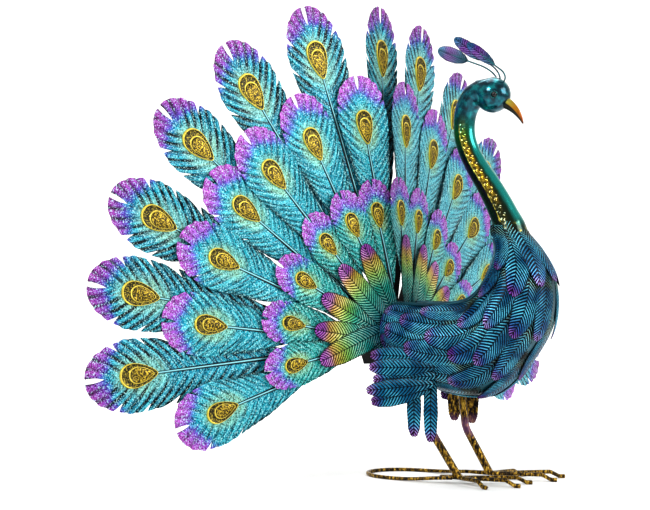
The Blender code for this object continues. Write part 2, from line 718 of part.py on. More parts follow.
def base_loop():
    """The rod loop behind the feet, flat underneath where it rests."""
    rest_height = LOOP_RADIUS * math.cos(math.pi / LOOP_SIDES)
    path = []
    steps = LOOP_STEPS * (len(LOOP_POINTS) - 1)
    for step in range(steps + 1):
        x, y, z = smooth_values(LOOP_POINTS, step / LOOP_STEPS)
        path.append(Vector((x * MM, y * MM, max(z, 0.0) * MM + rest_height)))
    rings = rod_rings(path, [LOOP_RADIUS] * len(path), LOOP_SIDES)
    return loft("base_loop", rings, ANTIQUE_GOLD)


base_loop()

# Wings and thigh feathers


def leaf_outline(length, half_width):
    """A plain pointed leaf: across, along."""
    right = [(half_width * width, length * along) for along, width in LEAF_SHARES]
    left = [(-across, along) for across, along in reversed(right)]
    return right + left


def wing(side, side_name):
    """Five long leaves fanned back beside the tail, welded into one wing."""
    ahead = LEFT_WING_AHEAD if side > 0 else 0.0
    rear = Vector((WING_REAR * MM, side * WING_REAR_Y, 0.0))
    front = Vector((WING_FRONT * MM, side * WING_FRONT_Y, 0.0))
    forward = (front - rear).normalized()
    out_axis = Vector((-forward.y, forward.x, 0.0)) * side
    first = None
    for number, (tip, root) in enumerate(zip(WING_TIPS, WING_ROOTS)):
        ends = []
        for x, z in (root, tip):
            reach = (x + ahead - WING_REAR) * MM / forward.x
            ends.append(rear + forward * reach + Vector((0.0, 0.0, z * MM)))
        along_axis = (ends[1] - ends[0]).normalized()
        across_axis = along_axis.cross(out_axis)
        lift = (number % 2) * (PLATE - SMALL_OVERLAP)

        def place(across, along, height, start=ends[0], along_axis=along_axis, across_axis=across_axis):
            return start + along_axis * along + across_axis * across + out_axis * height
        outline = leaf_outline((ends[1] - ends[0]).length, WING_LEAF_HALF_WIDTH)
        name = f"wing_{side_name}" if first is None else f"wing_{side_name}_leaf_{number}"
        leaf = plate(name, outline, place, lift, lift + PLATE, BODY_TEAL)
        if first is None:
            first = leaf
        else:
            combine(first, leaf, "UNION")
    combine(first, body_room, "DIFFERENCE")
    return first


def thigh_leaf(side, side_name, number, x, tip_z):
    """A feather that hangs beside the thigh."""
    top = Vector((x * MM, side * THIGH_Y, THIGH_TOP_Z))

    def place(across, along, height):
        return top + Vector((across, side * height, -along))
    outline = leaf_outline(THIGH_TOP_Z - tip_z * MM, THIGH_HALF_WIDTH)
    made = plate(f"thigh_feather_{side_name}_{number}", outline, place, 0.0, PLATE, BODY_TEAL)
    combine(made, body_room, "DIFFERENCE")
    return made


for side, side_name in ((-1, "right"), (1, "left")):
    wing(side, side_name)
    thigh_leaves = RIGHT_THIGH_LEAVES if side < 0 else LEFT_THIGH_LEAVES
    for number, (x, tip_z) in enumerate(thigh_leaves, 1):
        thigh_leaf(side, side_name, number, x, tip_z)

# The whole bird is moved so that the origin is under the middle of its bounding box.
bpy.context.view_layer.update()
depsgraph = bpy.context.evaluated_depsgraph_get()
corners = []
for made in bpy.data.objects:
    if not made.hide_render:
        corners += [Vector(corner) for corner in made.evaluated_get(depsgraph).bound_box]
lowest = [min(corner[axis] for corner in corners) for axis in range(3)]
highest = [max(corner[axis] for corner in corners) for axis in range(3)]
middle = Vector(((lowest[0] + highest[0]) / 2, (lowest[1] + highest[1]) / 2, lowest[2]))
for made in bpy.data.objects:
    made.data.transform(Matrix.Translation(-middle))
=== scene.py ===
"""The looks of a standing metal garden peacock with a raised fan of stamped, painted feathers."""

from functools import partial
import math

import bmesh
import bpy
import numpy as np
from mathutils import Matrix, Vector


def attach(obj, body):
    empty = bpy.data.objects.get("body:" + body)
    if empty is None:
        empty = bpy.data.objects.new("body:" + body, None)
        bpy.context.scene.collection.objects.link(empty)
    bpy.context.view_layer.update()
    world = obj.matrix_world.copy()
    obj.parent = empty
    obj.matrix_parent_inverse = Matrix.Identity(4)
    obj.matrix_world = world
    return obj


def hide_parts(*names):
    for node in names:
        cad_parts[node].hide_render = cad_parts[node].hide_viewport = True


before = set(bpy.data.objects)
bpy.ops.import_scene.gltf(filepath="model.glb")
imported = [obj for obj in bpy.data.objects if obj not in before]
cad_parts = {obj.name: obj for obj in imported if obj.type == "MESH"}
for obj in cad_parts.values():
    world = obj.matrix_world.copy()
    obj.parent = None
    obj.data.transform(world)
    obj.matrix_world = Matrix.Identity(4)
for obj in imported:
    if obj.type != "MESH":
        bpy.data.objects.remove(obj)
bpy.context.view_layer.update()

MM = 0.001

# Camera, floor and light. The photograph is taken level with the bird's breast, from 27 degrees
# to its right and 1.65 m away, on white. The floor is one pale sheet that curves up behind.
AIM = Vector((-0.06366, -0.05442, 0.2215))
VIEW_TURN = math.radians(27.0)
VIEW_DISTANCE = 1.65
LENS = 91.385
SENSOR = 36.0
TO_CAMERA = Vector((math.sin(VIEW_TURN), -math.cos(VIEW_TURN), 0.0))
TO_RIGHT = Vector((math.cos(VIEW_TURN), math.sin(VIEW_TURN), 0.0))
UP = Vector((0.0, 0.0, 1.0))
PALE = "#F6F6F5"
SHEET_HALF = 6.0
SHEET_BEHIND = 3.8
SHEET_CURVE = 1.0
SHEET_CURVE_STEPS = 16

bpy.ops.object.select_all(action="DESELECT")
bpy.ops.object.camera_add(location=AIM + TO_CAMERA * VIEW_DISTANCE,
                          rotation=(math.pi / 2, 0.0, VIEW_TURN))
camera = bpy.context.object
camera.data.lens = LENS
camera.data.sensor_width = SENSOR
bpy.context.scene.camera = camera


def linear(colour):
    """An sRGB hex colour as linear RGBA."""
    parts = [int(colour[start:start + 2], 16) / 255 for start in (1, 3, 5)]
    return [c / 12.92 if c <= 0.04045 else ((c + 0.055) / 1.055) ** 2.4 for c in parts] + [1.0]


def fill(made, inputs):
    """Link or set a node's sockets, given by name or in their order."""
    for key, value in inputs.items() if isinstance(inputs, dict) else enumerate(inputs):
        if isinstance(value, bpy.types.Node):
            value = value.outputs[0]
        if isinstance(value, bpy.types.NodeSocket):
            made.id_data.links.new(value, made.inputs[key])
        else:
            made.inputs[key].default_value = linear(value) if isinstance(value, str) else value


def add_node(tree, kind, inputs=(), stops=(), **settings):
    """Add a shader node with its settings, its sockets' values or links, and a ramp's stops."""
    made = tree.nodes.new("ShaderNode" + kind)
    for key, value in settings.items():
        setattr(made, key, value)
    fill(made, inputs)
    for number, (place, colour) in enumerate(stops):
        ramp = made.color_ramp.elements
        stop = ramp[number] if number < 2 else ramp.new(place)
        stop.position = place
        stop.color = linear(colour) if isinstance(colour, str) else (colour, colour, colour, 1.0)
    return made


def new_material(name):
    """A material, the function that adds a node to it, and its shader."""
    material = bpy.data.materials.new(name)
    material.use_nodes = True
    tree = material.node_tree
    return material, partial(add_node, tree), tree.nodes["Principled BSDF"]


def pick(test):
    """In edit mode, select the edges of the active mesh whose ends both pass a test."""
    editing = bmesh.from_edit_mesh(bpy.context.object.data)
    bpy.context.tool_settings.mesh_select_mode = (False, True, False)
    bpy.ops.mesh.select_all(action="DESELECT")
    for edge in editing.edges:
        edge.select_set(all(test(corner.co) for corner in edge.verts))
    editing.select_flush_mode()
    bmesh.update_edit_mesh(bpy.context.object.data)


bpy.ops.object.select_all(action="DESELECT")
bpy.ops.mesh.primitive_plane_add(size=2.0)
floor = bpy.context.object
floor.name = "pale_floor"
bpy.ops.object.mode_set(mode="EDIT")
bpy.ops.transform.resize(value=(SHEET_HALF, SHEET_HALF, 1.0), center_override=(0, 0, 0))
bpy.ops.transform.translate(value=(0.0, SHEET_BEHIND - SHEET_HALF, 0.0))
pick(lambda corner: corner.y > SHEET_BEHIND - MM)
bpy.ops.mesh.extrude_region_move(TRANSFORM_OT_translate={"value": (0.0, 0.0, SHEET_HALF)})
pick(lambda corner: corner.y > SHEET_BEHIND - MM and corner.z < MM)
bpy.ops.mesh.bevel(offset=SHEET_CURVE, segments=SHEET_CURVE_STEPS, profile=0.5)
bpy.ops.object.mode_set(mode="OBJECT")
floor.data.transform(Matrix.Translation((AIM.x, AIM.y, 0.0)) @ Matrix.Rotation(VIEW_TURN, 4, "Z"))
bpy.ops.object.shade_smooth()

# Matt white paper, which shows no highlight of the lamps.
paper, node, shader = new_material("matt_paper")
fill(shader, {"Base Color": PALE, "Roughness": 0.9})
floor.data.materials.append(paper)

world = bpy.data.worlds.new("soft_room")
world.use_nodes = True
fill(world.node_tree.nodes["Background"], {"Color": PALE, "Strength": 0.5})
bpy.context.scene.world = world
bpy.context.scene.view_settings.view_transform = "Standard"
bpy.context.scene.view_settings.look = "Medium High Contrast"


def lamp(name, right, forward, up, size, power, target=AIM):
    """A soft square lamp placed from the aim: to the right, towards the camera and up, in metres."""
    place = AIM + TO_RIGHT * right + TO_CAMERA * forward + UP * up
    bpy.ops.object.light_add(type="AREA", location=place)
    made = bpy.context.object
    made.name = name
    made.data.size = size
    made.data.energy = power
    made.rotation_euler = (target - place).to_track_quat("-Z", "Y").to_euler()


lamp("key_lamp", -0.9, 1.3, 1.2, 0.5, 20.0)
lamp("side_lamp", 1.6, 0.6, 0.7, 0.9, 15.0)
lamp("top_lamp", 0.1, -0.5, 1.7, 1.2, 16.0)
lamp("backdrop_lamp", 0.0, -1.6, 2.2, 2.0, 60.0, AIM - TO_CAMERA * SHEET_BEHIND)

# Outer feathers. Each real one is pressed from thin steel sheet, with a raised eye, a stem and
# barbs that run out in ridges, painted in glittering turquoise with violet tips, and welded by
# its stem to the hub. One is modelled from its barbs and laid in the place of each feather.
SHEET = 0.5
BARB_STEPS = 9
BARB_BOW = 0.05
ROWS_PER_RIDGE = 7
EDGE_POINTS_PER_MM = 4
# Shorter barbs than this, in mm, have a smaller tooth at their end.
FULL_TOOTH_BARB = 14.0
# Lean of the barbs from the stem, in degrees, by share of the vane's length behind the tip.
BARB_LEAN = ((0.0, 6.0), (0.012, 25.0), (0.055, 32.0), (0.12, 41.5), (0.2, 46.0), (0.42, 45.5),
             (0.53, 42.0), (0.88, 32.0), (1.0, 30.0))
# Lobes of half a vane: its edge as (behind the tip, out from the stem) in mm, and its ridges.
OUTER_LOBES = (
    (((0.5, 2.2), (3, 12), (12, 22), (26, 29), (36, 23)), 4),
    (((36, 23), (31, 30), (43, 33.5), (55, 33), (65, 26)), 3),
    (((65, 26), (59, 33), (78, 31), (95, 23)), 3),
    (((95, 23), (88, 30), (118, 26), (196, 11), (224, 3.5)), 9),
)
OUTER_SLOT = 20.0
OUTER_RELIEF = 0.9
OUTER_TOOTH = 1.0
OUTER_EYE = (74.0, 39.0, 15.0)
OUTER_ROOT_BACK = 309.7
EYE_SIDES = 32
EYE_FOCUS = 0.32
# Profile of an eye from its edge to its middle: share of its size, height in mm.
EYE_PROFILE = ((1.0, 0.3), (1.0, 1.6), (0.98, 2.1), (0.945, 2.1), (0.91, 1.6), (0.8, 1.4),
               (0.68, 1.5), (0.66, 2.1), (0.625, 2.15), (0.595, 1.5), (0.42, 1.6), (0.22, 1.9))
STEM_TOP = 1.75
STEM_START_HALF = 1.4
STEM_END_HALF = 2.8
STEM_STATIONS = 10
# Section of the stem: share of its half width, share of its height.
STEM_PROFILE = ((-1.0, 0.1), (1.0, 0.1), (0.92, 0.55), (0.5, 0.9), (0.0, 1.0), (-0.5, 0.9), (-0.92, 0.55))
STEM_LAP = 1.5
TIP_INSET = 0.5
# The corners this near a node's end, in mm, make up that end.
END_BAND = 0.4


def barbs(lobes, slot_end, tooth, lean_rule, rows_per_ridge):
    """Barbs of half a vane from the tip to the root: edge out and back, root back, ridge count."""
    length = lobes[-1][0][-1][0]
    rows = []
    counted = 0
    for outline, ridges in lobes:
        outline = np.array(outline, float)
        walk = np.concatenate([[0.0], np.cumsum(np.hypot(*np.diff(outline, axis=0).T))])
        fine = np.linspace(0.0, walk[-1], int(walk[-1] * EDGE_POINTS_PER_MM))
        back, out = (np.interp(fine, walk, outline[:, axis]) for axis in (0, 1))
        lean = np.radians(np.interp(back / length, *np.array(lean_rule).T))
        across = np.abs(np.diff(out) * np.cos(lean[1:]) + np.diff(back) * np.sin(lean[1:]))
        count = np.concatenate([[0.0], np.cumsum(across + 1e-4)])
        count *= ridges / count[-1]
        wanted = np.linspace(0.0, ridges, ridges * rows_per_ridge + 1)
        row = np.array([np.interp(wanted, count, values) for values in (out, back, lean, count)])
        row[3] += counted
        rows.append(row[:, 1:] if counted else row)
        counted += ridges
    out, back, lean, count = np.concatenate(rows, axis=1)
    root = np.maximum.accumulate(np.maximum(back + out / np.tan(lean), slot_end))
    reach = np.hypot(out, root - back)
    ridge = 1.0 - np.abs(2.0 * (count % 1.0) - 1.0) ** 2
    longer = 1.0 + tooth * (ridge - 0.5) * np.minimum(1.0, reach / FULL_TOOTH_BARB) / reach
    return out * longer, root + (back - root) * longer, root, count


def smooth_step(low, high, values):
    """0 below low, 1 above high and a smooth rise between them."""
    share = np.clip((values - low) / (high - low), 0.0, 1.0)
    return share * share * (3.0 - 2.0 * share)


def corners_of(mesh):
    """The corners of a mesh, in metres."""
    points = np.empty(len(mesh.vertices) * 3)
    mesh.vertices.foreach_get("co", points)
    return points.reshape(-1, 3)


def put_in_scene(name, data):
    """A new object, alone selected and active."""
    made = bpy.data.objects.new(name, data)
    bpy.context.scene.collection.objects.link(made)
    bpy.ops.object.select_all(action="DESELECT")
    bpy.context.view_layer.objects.active = made
    made.select_set(True)
    return made


def mend_mesh(gap=0.0, turn_out=True):
    """Merge the active mesh's corners across a gap in mm, and turn its faces outwards."""
    bpy.ops.object.mode_set(mode="EDIT")
    bpy.ops.mesh.select_all(action="SELECT")
    if gap:
        bpy.ops.mesh.remove_doubles(threshold=gap * MM)
    if turn_out:
        bpy.ops.mesh.normals_make_consistent(inside=False)
    bpy.ops.object.mode_set(mode="OBJECT")


def write_maps(made, place, barb):
    """Keep each corner's place in mm and its ridge count and share of the barb as UV maps."""
    corners = np.empty(len(made.data.loops), int)
    made.data.loops.foreach_get("vertex_index", corners)
    for name, values in (("place", place), ("barb", barb)):
        layer = made.data.uv_layers.new(name=name)
        layer.data.foreach_set("uv", np.asarray(values, np.float32)[corners].ravel())


def paint_behind(made, paint):
    """Give the faces that look away from the front a second finish."""
    made.data.materials.append(paint)
    for face in made.data.polygons:
        face.material_index = int(face.normal.z < 0.0)


def pressed_vane(name, lobes, slot_end, relief, tooth, material, lean_rule=BARB_LEAN,
                 steps=BARB_STEPS, rows_per_ridge=ROWS_PER_RIDGE, eye=None):
    """A vane pressed in sheet: across is x, the tip is at y = 0, and the front looks to +z.

    Where it carries an eye and a stem it stays flat under them.
    """
    out, back, root, count = barbs(lobes, slot_end, tooth, lean_rule, rows_per_ridge)
    rows = len(count) - 1
    bpy.ops.object.select_all(action="DESELECT")
    bpy.ops.mesh.primitive_grid_add(x_subdivisions=2 * steps, y_subdivisions=rows, size=2.0)
    made = bpy.context.object
    made.name = name
    signed, downwards, _ = corners_of(made.data).T
    row = np.rint((1.0 - downwards) / 2 * rows).astype(int)
    share = np.abs(signed)
    bow = BARB_BOW * np.sin(math.pi * share)
    run = root[row] - back[row]
    across = np.sign(signed) * (out[row] * share + run * bow)
    behind = root[row] - run * share + out[row] * bow
    # The ridges rise beside the stem and sink a little towards the edge.
    ridge = 1.0 - np.abs(2.0 * (count[row] % 1.0) - 1.0) ** 1.6
    rise = smooth_step(0.03, 0.3, share) * (1.0 - 0.3 * smooth_step(0.8, 1.0, share))
    if eye:
        # Its distance from the eye's middle, 1 at the eye's edge.
        point_back, length, half_width = eye
        off = np.hypot(across / half_width, (behind - point_back) / length * 2.0 + 1.0)
        rise = rise * smooth_step(0.95, 1.25, off) * smooth_step(2.2, 5.0, np.abs(across))
    height = SHEET + relief * ridge * rise
    made.data.vertices.foreach_set("co", (np.array([across, -behind, height]).T * MM).ravel())
    write_maps(made, np.array([across, behind]).T, np.array([count[row], signed]).T)
    made.data.materials.append(material)
    mend_mesh(0.03, turn_out=False)
    # The sheet's thickness goes downwards.
    wall = made.modifiers.new("thickness", "SOLIDIFY")
    wall.thickness = SHEET * MM
    wall.offset = -1.0
    bpy.ops.object.modifier_apply(modifier=wall.name)
    bpy.ops.object.shade_smooth_by_angle(angle=math.radians(40.0))
    return made


def ring_mesh(name, rings, place, barb, material):
    """A closed skin over rings of equal length, in mm, with its two maps."""
    sides = len(rings[0])
    faces = [list(range(sides))[::-1], [(len(rings) - 1) * sides + k for k in range(sides)]]
    for ring in range(len(rings) - 1):
        for k in range(sides):
            after = (k + 1) % sides
            faces.append([ring * sides + k, ring * sides + after,
                          (ring + 1) * sides + after, (ring + 1) * sides + k])
    mesh = bpy.data.meshes.new(name)
    mesh.from_pydata((np.concatenate(rings) * MM).tolist(), [], faces)
    mesh.materials.append(material)
    made = put_in_scene(name, mesh)
    write_maps(made, place, barb)
    mend_mesh()
    bpy.ops.object.shade_smooth_by_angle(angle=math.radians(45.0))
    return made


def raised_eye(point_back, length, half_width, material):
    """The teardrop eye: two gold rims round a hollow and a domed middle."""
    turn = np.linspace(0.0, 2 * math.pi, EYE_SIDES, endpoint=False)
    taper = 0.5 + 0.5 * np.cos(turn)
    across = half_width * np.sin(turn) * (1.0 - 0.45 * taper) * np.sin(turn / 2) ** 0.25
    along = -point_back + length * (1.0 - np.cos(turn)) / 2
    focus = -point_back + length * EYE_FOCUS
    rings = [np.array([across * share, focus + (along - focus) * share,
                       np.full(EYE_SIDES, height)]).T for share, height in EYE_PROFILE]
    places = np.concatenate(rings)[:, :2] * (1.0, -1.0)
    shares = np.repeat([share for share, height in EYE_PROFILE], EYE_SIDES)
    return ring_mesh("eye", rings, places, np.array([shares, shares]).T, material)


def raised_stem(start_back, end_back, material):
    """The stem from the eye's point to the root, half round and widening."""
    rings = []
    for share in np.linspace(0.0, 1.0, STEM_STATIONS):
        half = STEM_START_HALF + (STEM_END_HALF - STEM_START_HALF) * share ** 0.7
        top = SHEET + (STEM_TOP - SHEET) * min(1.0, 0.35 + 3.0 * share)
        along = -(start_back + (end_back - start_back) * share)
        rings.append(np.array([(half * x, along, top * z) for x, z in STEM_PROFILE]))
    places = np.concatenate(rings)[:, :2] * (1.0, -1.0)
    return ring_mesh("stem", rings, places, np.zeros_like(places), material)


def join(parts, name):
    """Join finished parts into the first."""
    bpy.ops.object.select_all(action="DESELECT")
    for part in parts:
        part.select_set(True)
    bpy.context.view_layer.objects.active = parts[0]
    bpy.ops.object.join()
    parts[0].name = name
    return parts[0]


def seat_of(node_name):
    """Where a flat feather's node lies: a matrix from the master's place, and its length in mm."""
    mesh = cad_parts[node_name].data
    points = np.unique(np.round(corners_of(mesh), 5), axis=0)
    widest = max(mesh.polygons, key=lambda face: face.area)
    lift = np.array(widest.normal)
    heights = points @ lift
    if heights.mean() > (heights.max() + heights.min()) / 2:
        lift = -lift
        heights = -heights
    flat = points - np.outer(heights, lift)
    along = np.linalg.svd(flat - flat.mean(0), full_matrices=False)[2][0]
    # The first round finds the two ends roughly, and the second from a better direction.
    for attempt in range(2):
        reach = flat @ along
        if reach.mean() < (reach.max() + reach.min()) / 2:
            along, reach = -along, -reach
        side = np.cross(along, lift)
        ends = []
        for near_end in (reach > reach.max() - END_BAND * MM, reach < reach.min() + END_BAND * MM):
            offsets = (flat @ side)[near_end]
            middle_off = (offsets.max() + offsets.min()) / 2
            ends.append(along * reach[near_end].mean() + side * middle_off)
        length = np.linalg.norm(ends[0] - ends[1])
        along = (ends[0] - ends[1]) / length
    side = np.cross(along, lift)
    tip = ends[0] + along * TIP_INSET * MM + lift * heights.min()
    seat = Matrix([[side[axis], along[axis], lift[axis], tip[axis]] for axis in range(3)] + [[0, 0, 0, 1]])
    return seat, length / MM + TIP_INSET


def lay_row(master, lobes, row_name):
    """A copy of a pressed feather in the place of each node of a row.

    Only the stems differ in length, and each copy has a tone of its own, which also gives the left half of
    the fan its painted light.
    """
    vane_end = lobes[-1][0][-1][0] + 1.0
    node_names = sorted(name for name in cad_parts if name.startswith(row_name))
    for number, node_name in enumerate(node_names):
        seat, length = seat_of(node_name)
        mesh = master.data.copy()
        points = corners_of(mesh)
        nominal = -points[:, 1].min() / MM
        beyond = np.maximum(0.0, -points[:, 1] / MM - vane_end) / (nominal - vane_end)
        points[:, 1] -= beyond * (length - nominal) * MM
        mesh.vertices.foreach_set("co", points.ravel())
        mesh.transform(seat)
        tone = mesh.attributes.new("own_tone", "FLOAT", "POINT")
        tone.data.foreach_set("value", np.full(len(points), number / len(node_names), np.float32))
        feather = put_in_scene(node_name + "_vane", mesh)
        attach(feather, "root")
        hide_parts(node_name)
    bpy.data.objects.remove(master)


# Glitter enamel on stamped steel: a half metallic base under clear lacquer, with painted shade dark in the
# grooves and along the edges, and a painted highlight on the pale brushed ridges, which sparkles in a soft
# light.
# The grit and the streaks are drawn coarser than the real ones, so that they show.
GRIT_MM = 1.3
STREAK_MM = 0.9
RIDGE_MM = 6.5
CLOUD_MM = 16.6667


def feather_enamel(name, tip_ramp, blade_ramp, eye_back, eye_reach, halo, shade_and_grit, groove_dark):
    """The painted front of a vane. The ramps run backwards from the tip, in mm and shares."""
    material, node, shader = new_material(name)
    across, back = node("SeparateXYZ", [node("UVMap", uv_map="place")]).outputs[:2]
    ridges, share = node("SeparateXYZ", [node("UVMap", uv_map="barb")]).outputs[:2]
    own = node("Attribute", attribute_name="own_tone").outputs["Fac"]
    world_place = node("TexCoord").outputs["Object"]
    grit = node("TexNoise", {"Vector": world_place, "Scale": 1000.0 / GRIT_MM, "Detail": 2.0})
    cloud = node("TexNoise", {"Vector": world_place, "Scale": 1000.0 / CLOUD_MM, "Detail": 2.0})
    drawn_out = node("VectorMath", [node("CombineXYZ", [ridges, share, own]),
                                    (RIDGE_MM / STREAK_MM, 2.2, 31.0)], operation="MULTIPLY")
    streak = node("TexNoise", {"Vector": drawn_out, "Scale": 1.0, "Detail": 2.5})
    out = node("Math", [across], operation="ABSOLUTE")
    barb_share = node("Math", [share], operation="ABSOLUTE")
    # Distance behind the tip, less where the edge curls back, broken up by the streaks.
    lag = back
    for part, reach in ((out, -0.62), (streak, 12.0), (cloud, 14.0)):
        lag = node("Math", [part, reach, lag], operation="MULTIPLY_ADD")
    lag = node("Math", [lag, 13.0], operation="SUBTRACT")
    tip = node("ValToRGB", [node("Math", [lag, 40.0], operation="DIVIDE")], tip_ramp)
    blade = node("ValToRGB", [streak], blade_ramp)
    # Painted light: the left half of the fan, which faces the light, is painted paler than the right one.
    left_half_painted_light = node("MapRange", [own, 0.43, 0.46, 0.32, 0.0])
    blade = node("MixRGB", [left_half_painted_light, blade, "#8CD2E0"])
    tip_share = node("MapRange", [lag, 15.0, 24.0, 1.0, 0.0])
    colour = node("MixRGB", [tip_share, blade, tip])
    # The pale halo of grit round the eye.
    behind_eye = node("Math", [back, eye_back], operation="SUBTRACT")
    away = node("VectorMath", [node("CombineXYZ", [across, behind_eye]), (1.15, 0.8, 1.0)],
                operation="MULTIPLY")
    away = node("VectorMath", [away], operation="LENGTH").outputs["Value"]
    near = node("MapRange", [away, eye_reach * 0.85, eye_reach * 1.3, 0.8, 0.0])
    near = node("Math", [near, cloud], operation="MULTIPLY")
    near = node("Math", [near, 1.2], operation="MULTIPLY", use_clamp=True)
    # Pale brushing on the ridges of the blade, which is partly a painted highlight.
    hill = node("Math", [ridges, 0.5], operation="PINGPONG")
    crown_highlight = node("MapRange", [hill, 0.25, 0.5, 0.0, 0.45])
    blade_share = node("Math", [1.0, tip_share], operation="SUBTRACT")
    for thinner in (streak, blade_share):
        crown_highlight = node("Math", [crown_highlight, thinner], operation="MULTIPLY")
    # The painted shade in the grooves is patchy, and fades towards the stem and in the tip.
    valley = node("MapRange", [hill, 0.06, 0.3, 1.0, 0.0])
    from_stem = node("MapRange", [barb_share, 0.12, 0.5, 0.15, 1.0])
    patchy = node("MapRange", [cloud, 0.35, 0.6, 0.35, 1.0])
    soft = node("Math", [tip_share, -0.4, 1.0], operation="MULTIPLY_ADD")
    for thinner in (from_stem, patchy, soft, groove_dark):
        valley = node("Math", [valley, thinner], operation="MULTIPLY", use_clamp=True)
    # Painted shade, black along the edges behind the eye.
    rim = node("Math", [streak, 0.25, barb_share], operation="MULTIPLY_ADD")
    rim = node("MapRange", [rim, 0.85, 1.08, 0.0, 0.9])
    rim = node("Math", [rim, node("MapRange", [back, eye_back, eye_back + 26.0])], operation="MULTIPLY")
    # Specks of dark and light grit lie over all.
    dark_grit = node("MapRange", [grit, 0.45, 0.39, 0.0, 0.85])
    light_grit = node("MapRange", [grit, 0.58, 0.64, 0.0, 0.7])
    # Painted shade in the grooves and along the edges, and the dark grit, take one dark colour.
    for mask, paint in ((near, halo), (crown_highlight, "#8FDEE0"), (valley, shade_and_grit), (rim, shade_and_grit),
                        (dark_grit, shade_and_grit), (light_grit, "#B9F0EE")):
        colour = node("MixRGB", [mask, colour, paint])
    rough = node("Math", [grit, 0.5, streak], operation="MULTIPLY_ADD")
    bump = node("Bump", {"Height": rough, "Distance": 0.5 * MM, "Strength": 0.6})
    fill(shader, {"Base Color": colour, "Metallic": 0.2, "Roughness": 0.38, "Specular IOR Level": 0.16,
                  "Coat Weight": 0.05, "Coat Roughness": 0.15, "Normal": bump})
    return material


# Gilding wax rubbed over black paint: the raised rims are bright gold, the hollow between them is
# olive black with gold specks, and the middle is dull speckled gold.
gilt_eye, node, shader = new_material("gilded_eye")
ring = node("SeparateXYZ", [node("UVMap", uv_map="barb")])
specks = node("TexNoise", {"Vector": node("TexCoord").outputs["Object"], "Scale": 1000.0 / GRIT_MM,
                           "Detail": 3.0})
hollow = node("ValToRGB", [specks], ((0.42, "#0A0902"), (0.53, "#3A360C"), (0.64, "#B09A2E")))
middle = node("ValToRGB", [specks], ((0.38, "#120E02"), (0.5, "#5E4E0C"), (0.62, "#D2B436")))
inside = node("MapRange", [ring, 0.5, 0.6, 1.0, 0.0])
rims = node("ValToRGB", [ring], (
    (0.6, 0.0), (0.615, 1.0), (0.66, 1.0), (0.675, 0.0), (0.93, 0.0), (0.94, 1.0)))
colour = node("MixRGB", [rims, node("MixRGB", [inside, hollow, middle]), "#DCC44E"])
bump = node("Bump", {"Height": specks, "Distance": 0.4 * MM, "Strength": 0.5})
fill(shader, {"Base Color": colour, "Metallic": 0.55, "Roughness": 0.38, "Normal": bump})

# The same turquoise enamel with a painted highlight along the top of the stem and painted shade beside it.
stem_enamel, node, shader = new_material("stem_enamel")
off = node("Math", [node("SeparateXYZ", [node("UVMap", uv_map="place")])], operation="ABSOLUTE")
colour = node("ValToRGB", [off], ((0.0, "#A8E0E4"), (0.4, "#62BCC8"), (0.65, "#083844"), (1.0, "#020C10")))
fill(shader, {"Base Color": colour, "Metallic": 0.25, "Roughness": 0.4})

# The backs of the feathers are sprayed black, with a mist of teal that drifted over from the front.
MIST_MM = 11.1111
plain_back, node, shader = new_material("misted_black_paint")
mist = node("TexNoise", {"Vector": node("TexCoord").outputs["Object"], "Scale": 1000.0 / MIST_MM,
                         "Detail": 5.0})
colour = node("ValToRGB", [mist], ((0.38, "#06090B"), (0.56, "#0C1C22"), (0.7, "#12424C")))
fill(shader, {"Base Color": colour, "Roughness": 0.5, "Specular IOR Level": 0.35})

VIOLET_TIP = ((0.0, "#A046AC"), (0.22, "#8A46B4"), (0.38, "#5048B4"), (0.5, "#1E60B0"), (0.62, "#0682AC"))
SOFT_VIOLET_TIP = ((0.0, "#B65AC4"), (0.24, "#9C58C8"), (0.4, "#6058C4"), (0.52, "#2878C0"),
                   (0.64, "#0A98BC"))
TURQUOISE_BLADE = ((0.34, "#022E40"), (0.44, "#046C8A"), (0.55, "#08A0BE"), (0.68, "#3CC6D4"))
outer_enamel = feather_enamel("outer_glitter_enamel", VIOLET_TIP, TURQUOISE_BLADE,
                              eye_back=57.0, eye_reach=20.0, halo="#A8DCB8", shade_and_grit="#020E14",
                              groove_dark=1.5)


def pressed_feather(name, lobes, slot_end, relief, tooth, eye, root_back, enamel):
    """A whole feather: vane, eye and stem, with the front's three finishes."""
    vane = pressed_vane(name, lobes, slot_end, relief, tooth, enamel, eye=eye)
    stem = raised_stem(eye[0] - STEM_LAP, root_back, stem_enamel)
    paint_behind(vane, plain_back)
    paint_behind(stem, plain_back)
    return join([vane, raised_eye(*eye, gilt_eye), stem], name)


outer_master = pressed_feather("outer_master", OUTER_LOBES, OUTER_SLOT, OUTER_RELIEF, OUTER_TOOTH,
                               OUTER_EYE, OUTER_ROOT_BACK, outer_enamel)
lay_row(outer_master, OUTER_LOBES, "outer_feather")

# Middle feathers. They are pressed and painted as the outer ones are, a size smaller, and are
# welded in front of them to the same hub in two staggered layers.
MIDDLE_LOBES = (
    (((0.5, 2.0), (3, 12), (11, 22), (24, 28), (33, 22)), 4),
    (((33, 22), (28, 28), (44, 30), (60, 28), (70, 22)), 4),
    (((70, 22), (64, 27), (100, 21), (160, 3.2)), 9),
)
MIDDLE_SLOT = 16.0
MIDDLE_RELIEF = 0.7
MIDDLE_TOOTH = 0.9
MIDDLE_EYE = (70.0, 35.0, 12.5)
MIDDLE_ROOT_BACK = 233.2
MIDDLE_BLADE = ((0.3, "#045468"), (0.42, "#0888A2"), (0.55, "#12AAC0"), (0.7, "#5CCCD4"))
middle_enamel = feather_enamel("middle_glitter_enamel", SOFT_VIOLET_TIP, MIDDLE_BLADE,
                               eye_back=55.0, eye_reach=17.0, halo="#A8D49A", shade_and_grit="#03161C",
                               groove_dark=0.8)
middle_master = pressed_feather("middle_master", MIDDLE_LOBES, MIDDLE_SLOT, MIDDLE_RELIEF, MIDDLE_TOOTH,
                                MIDDLE_EYE, MIDDLE_ROOT_BACK, middle_enamel)
lay_row(middle_master, MIDDLE_LOBES, "middle_feather")

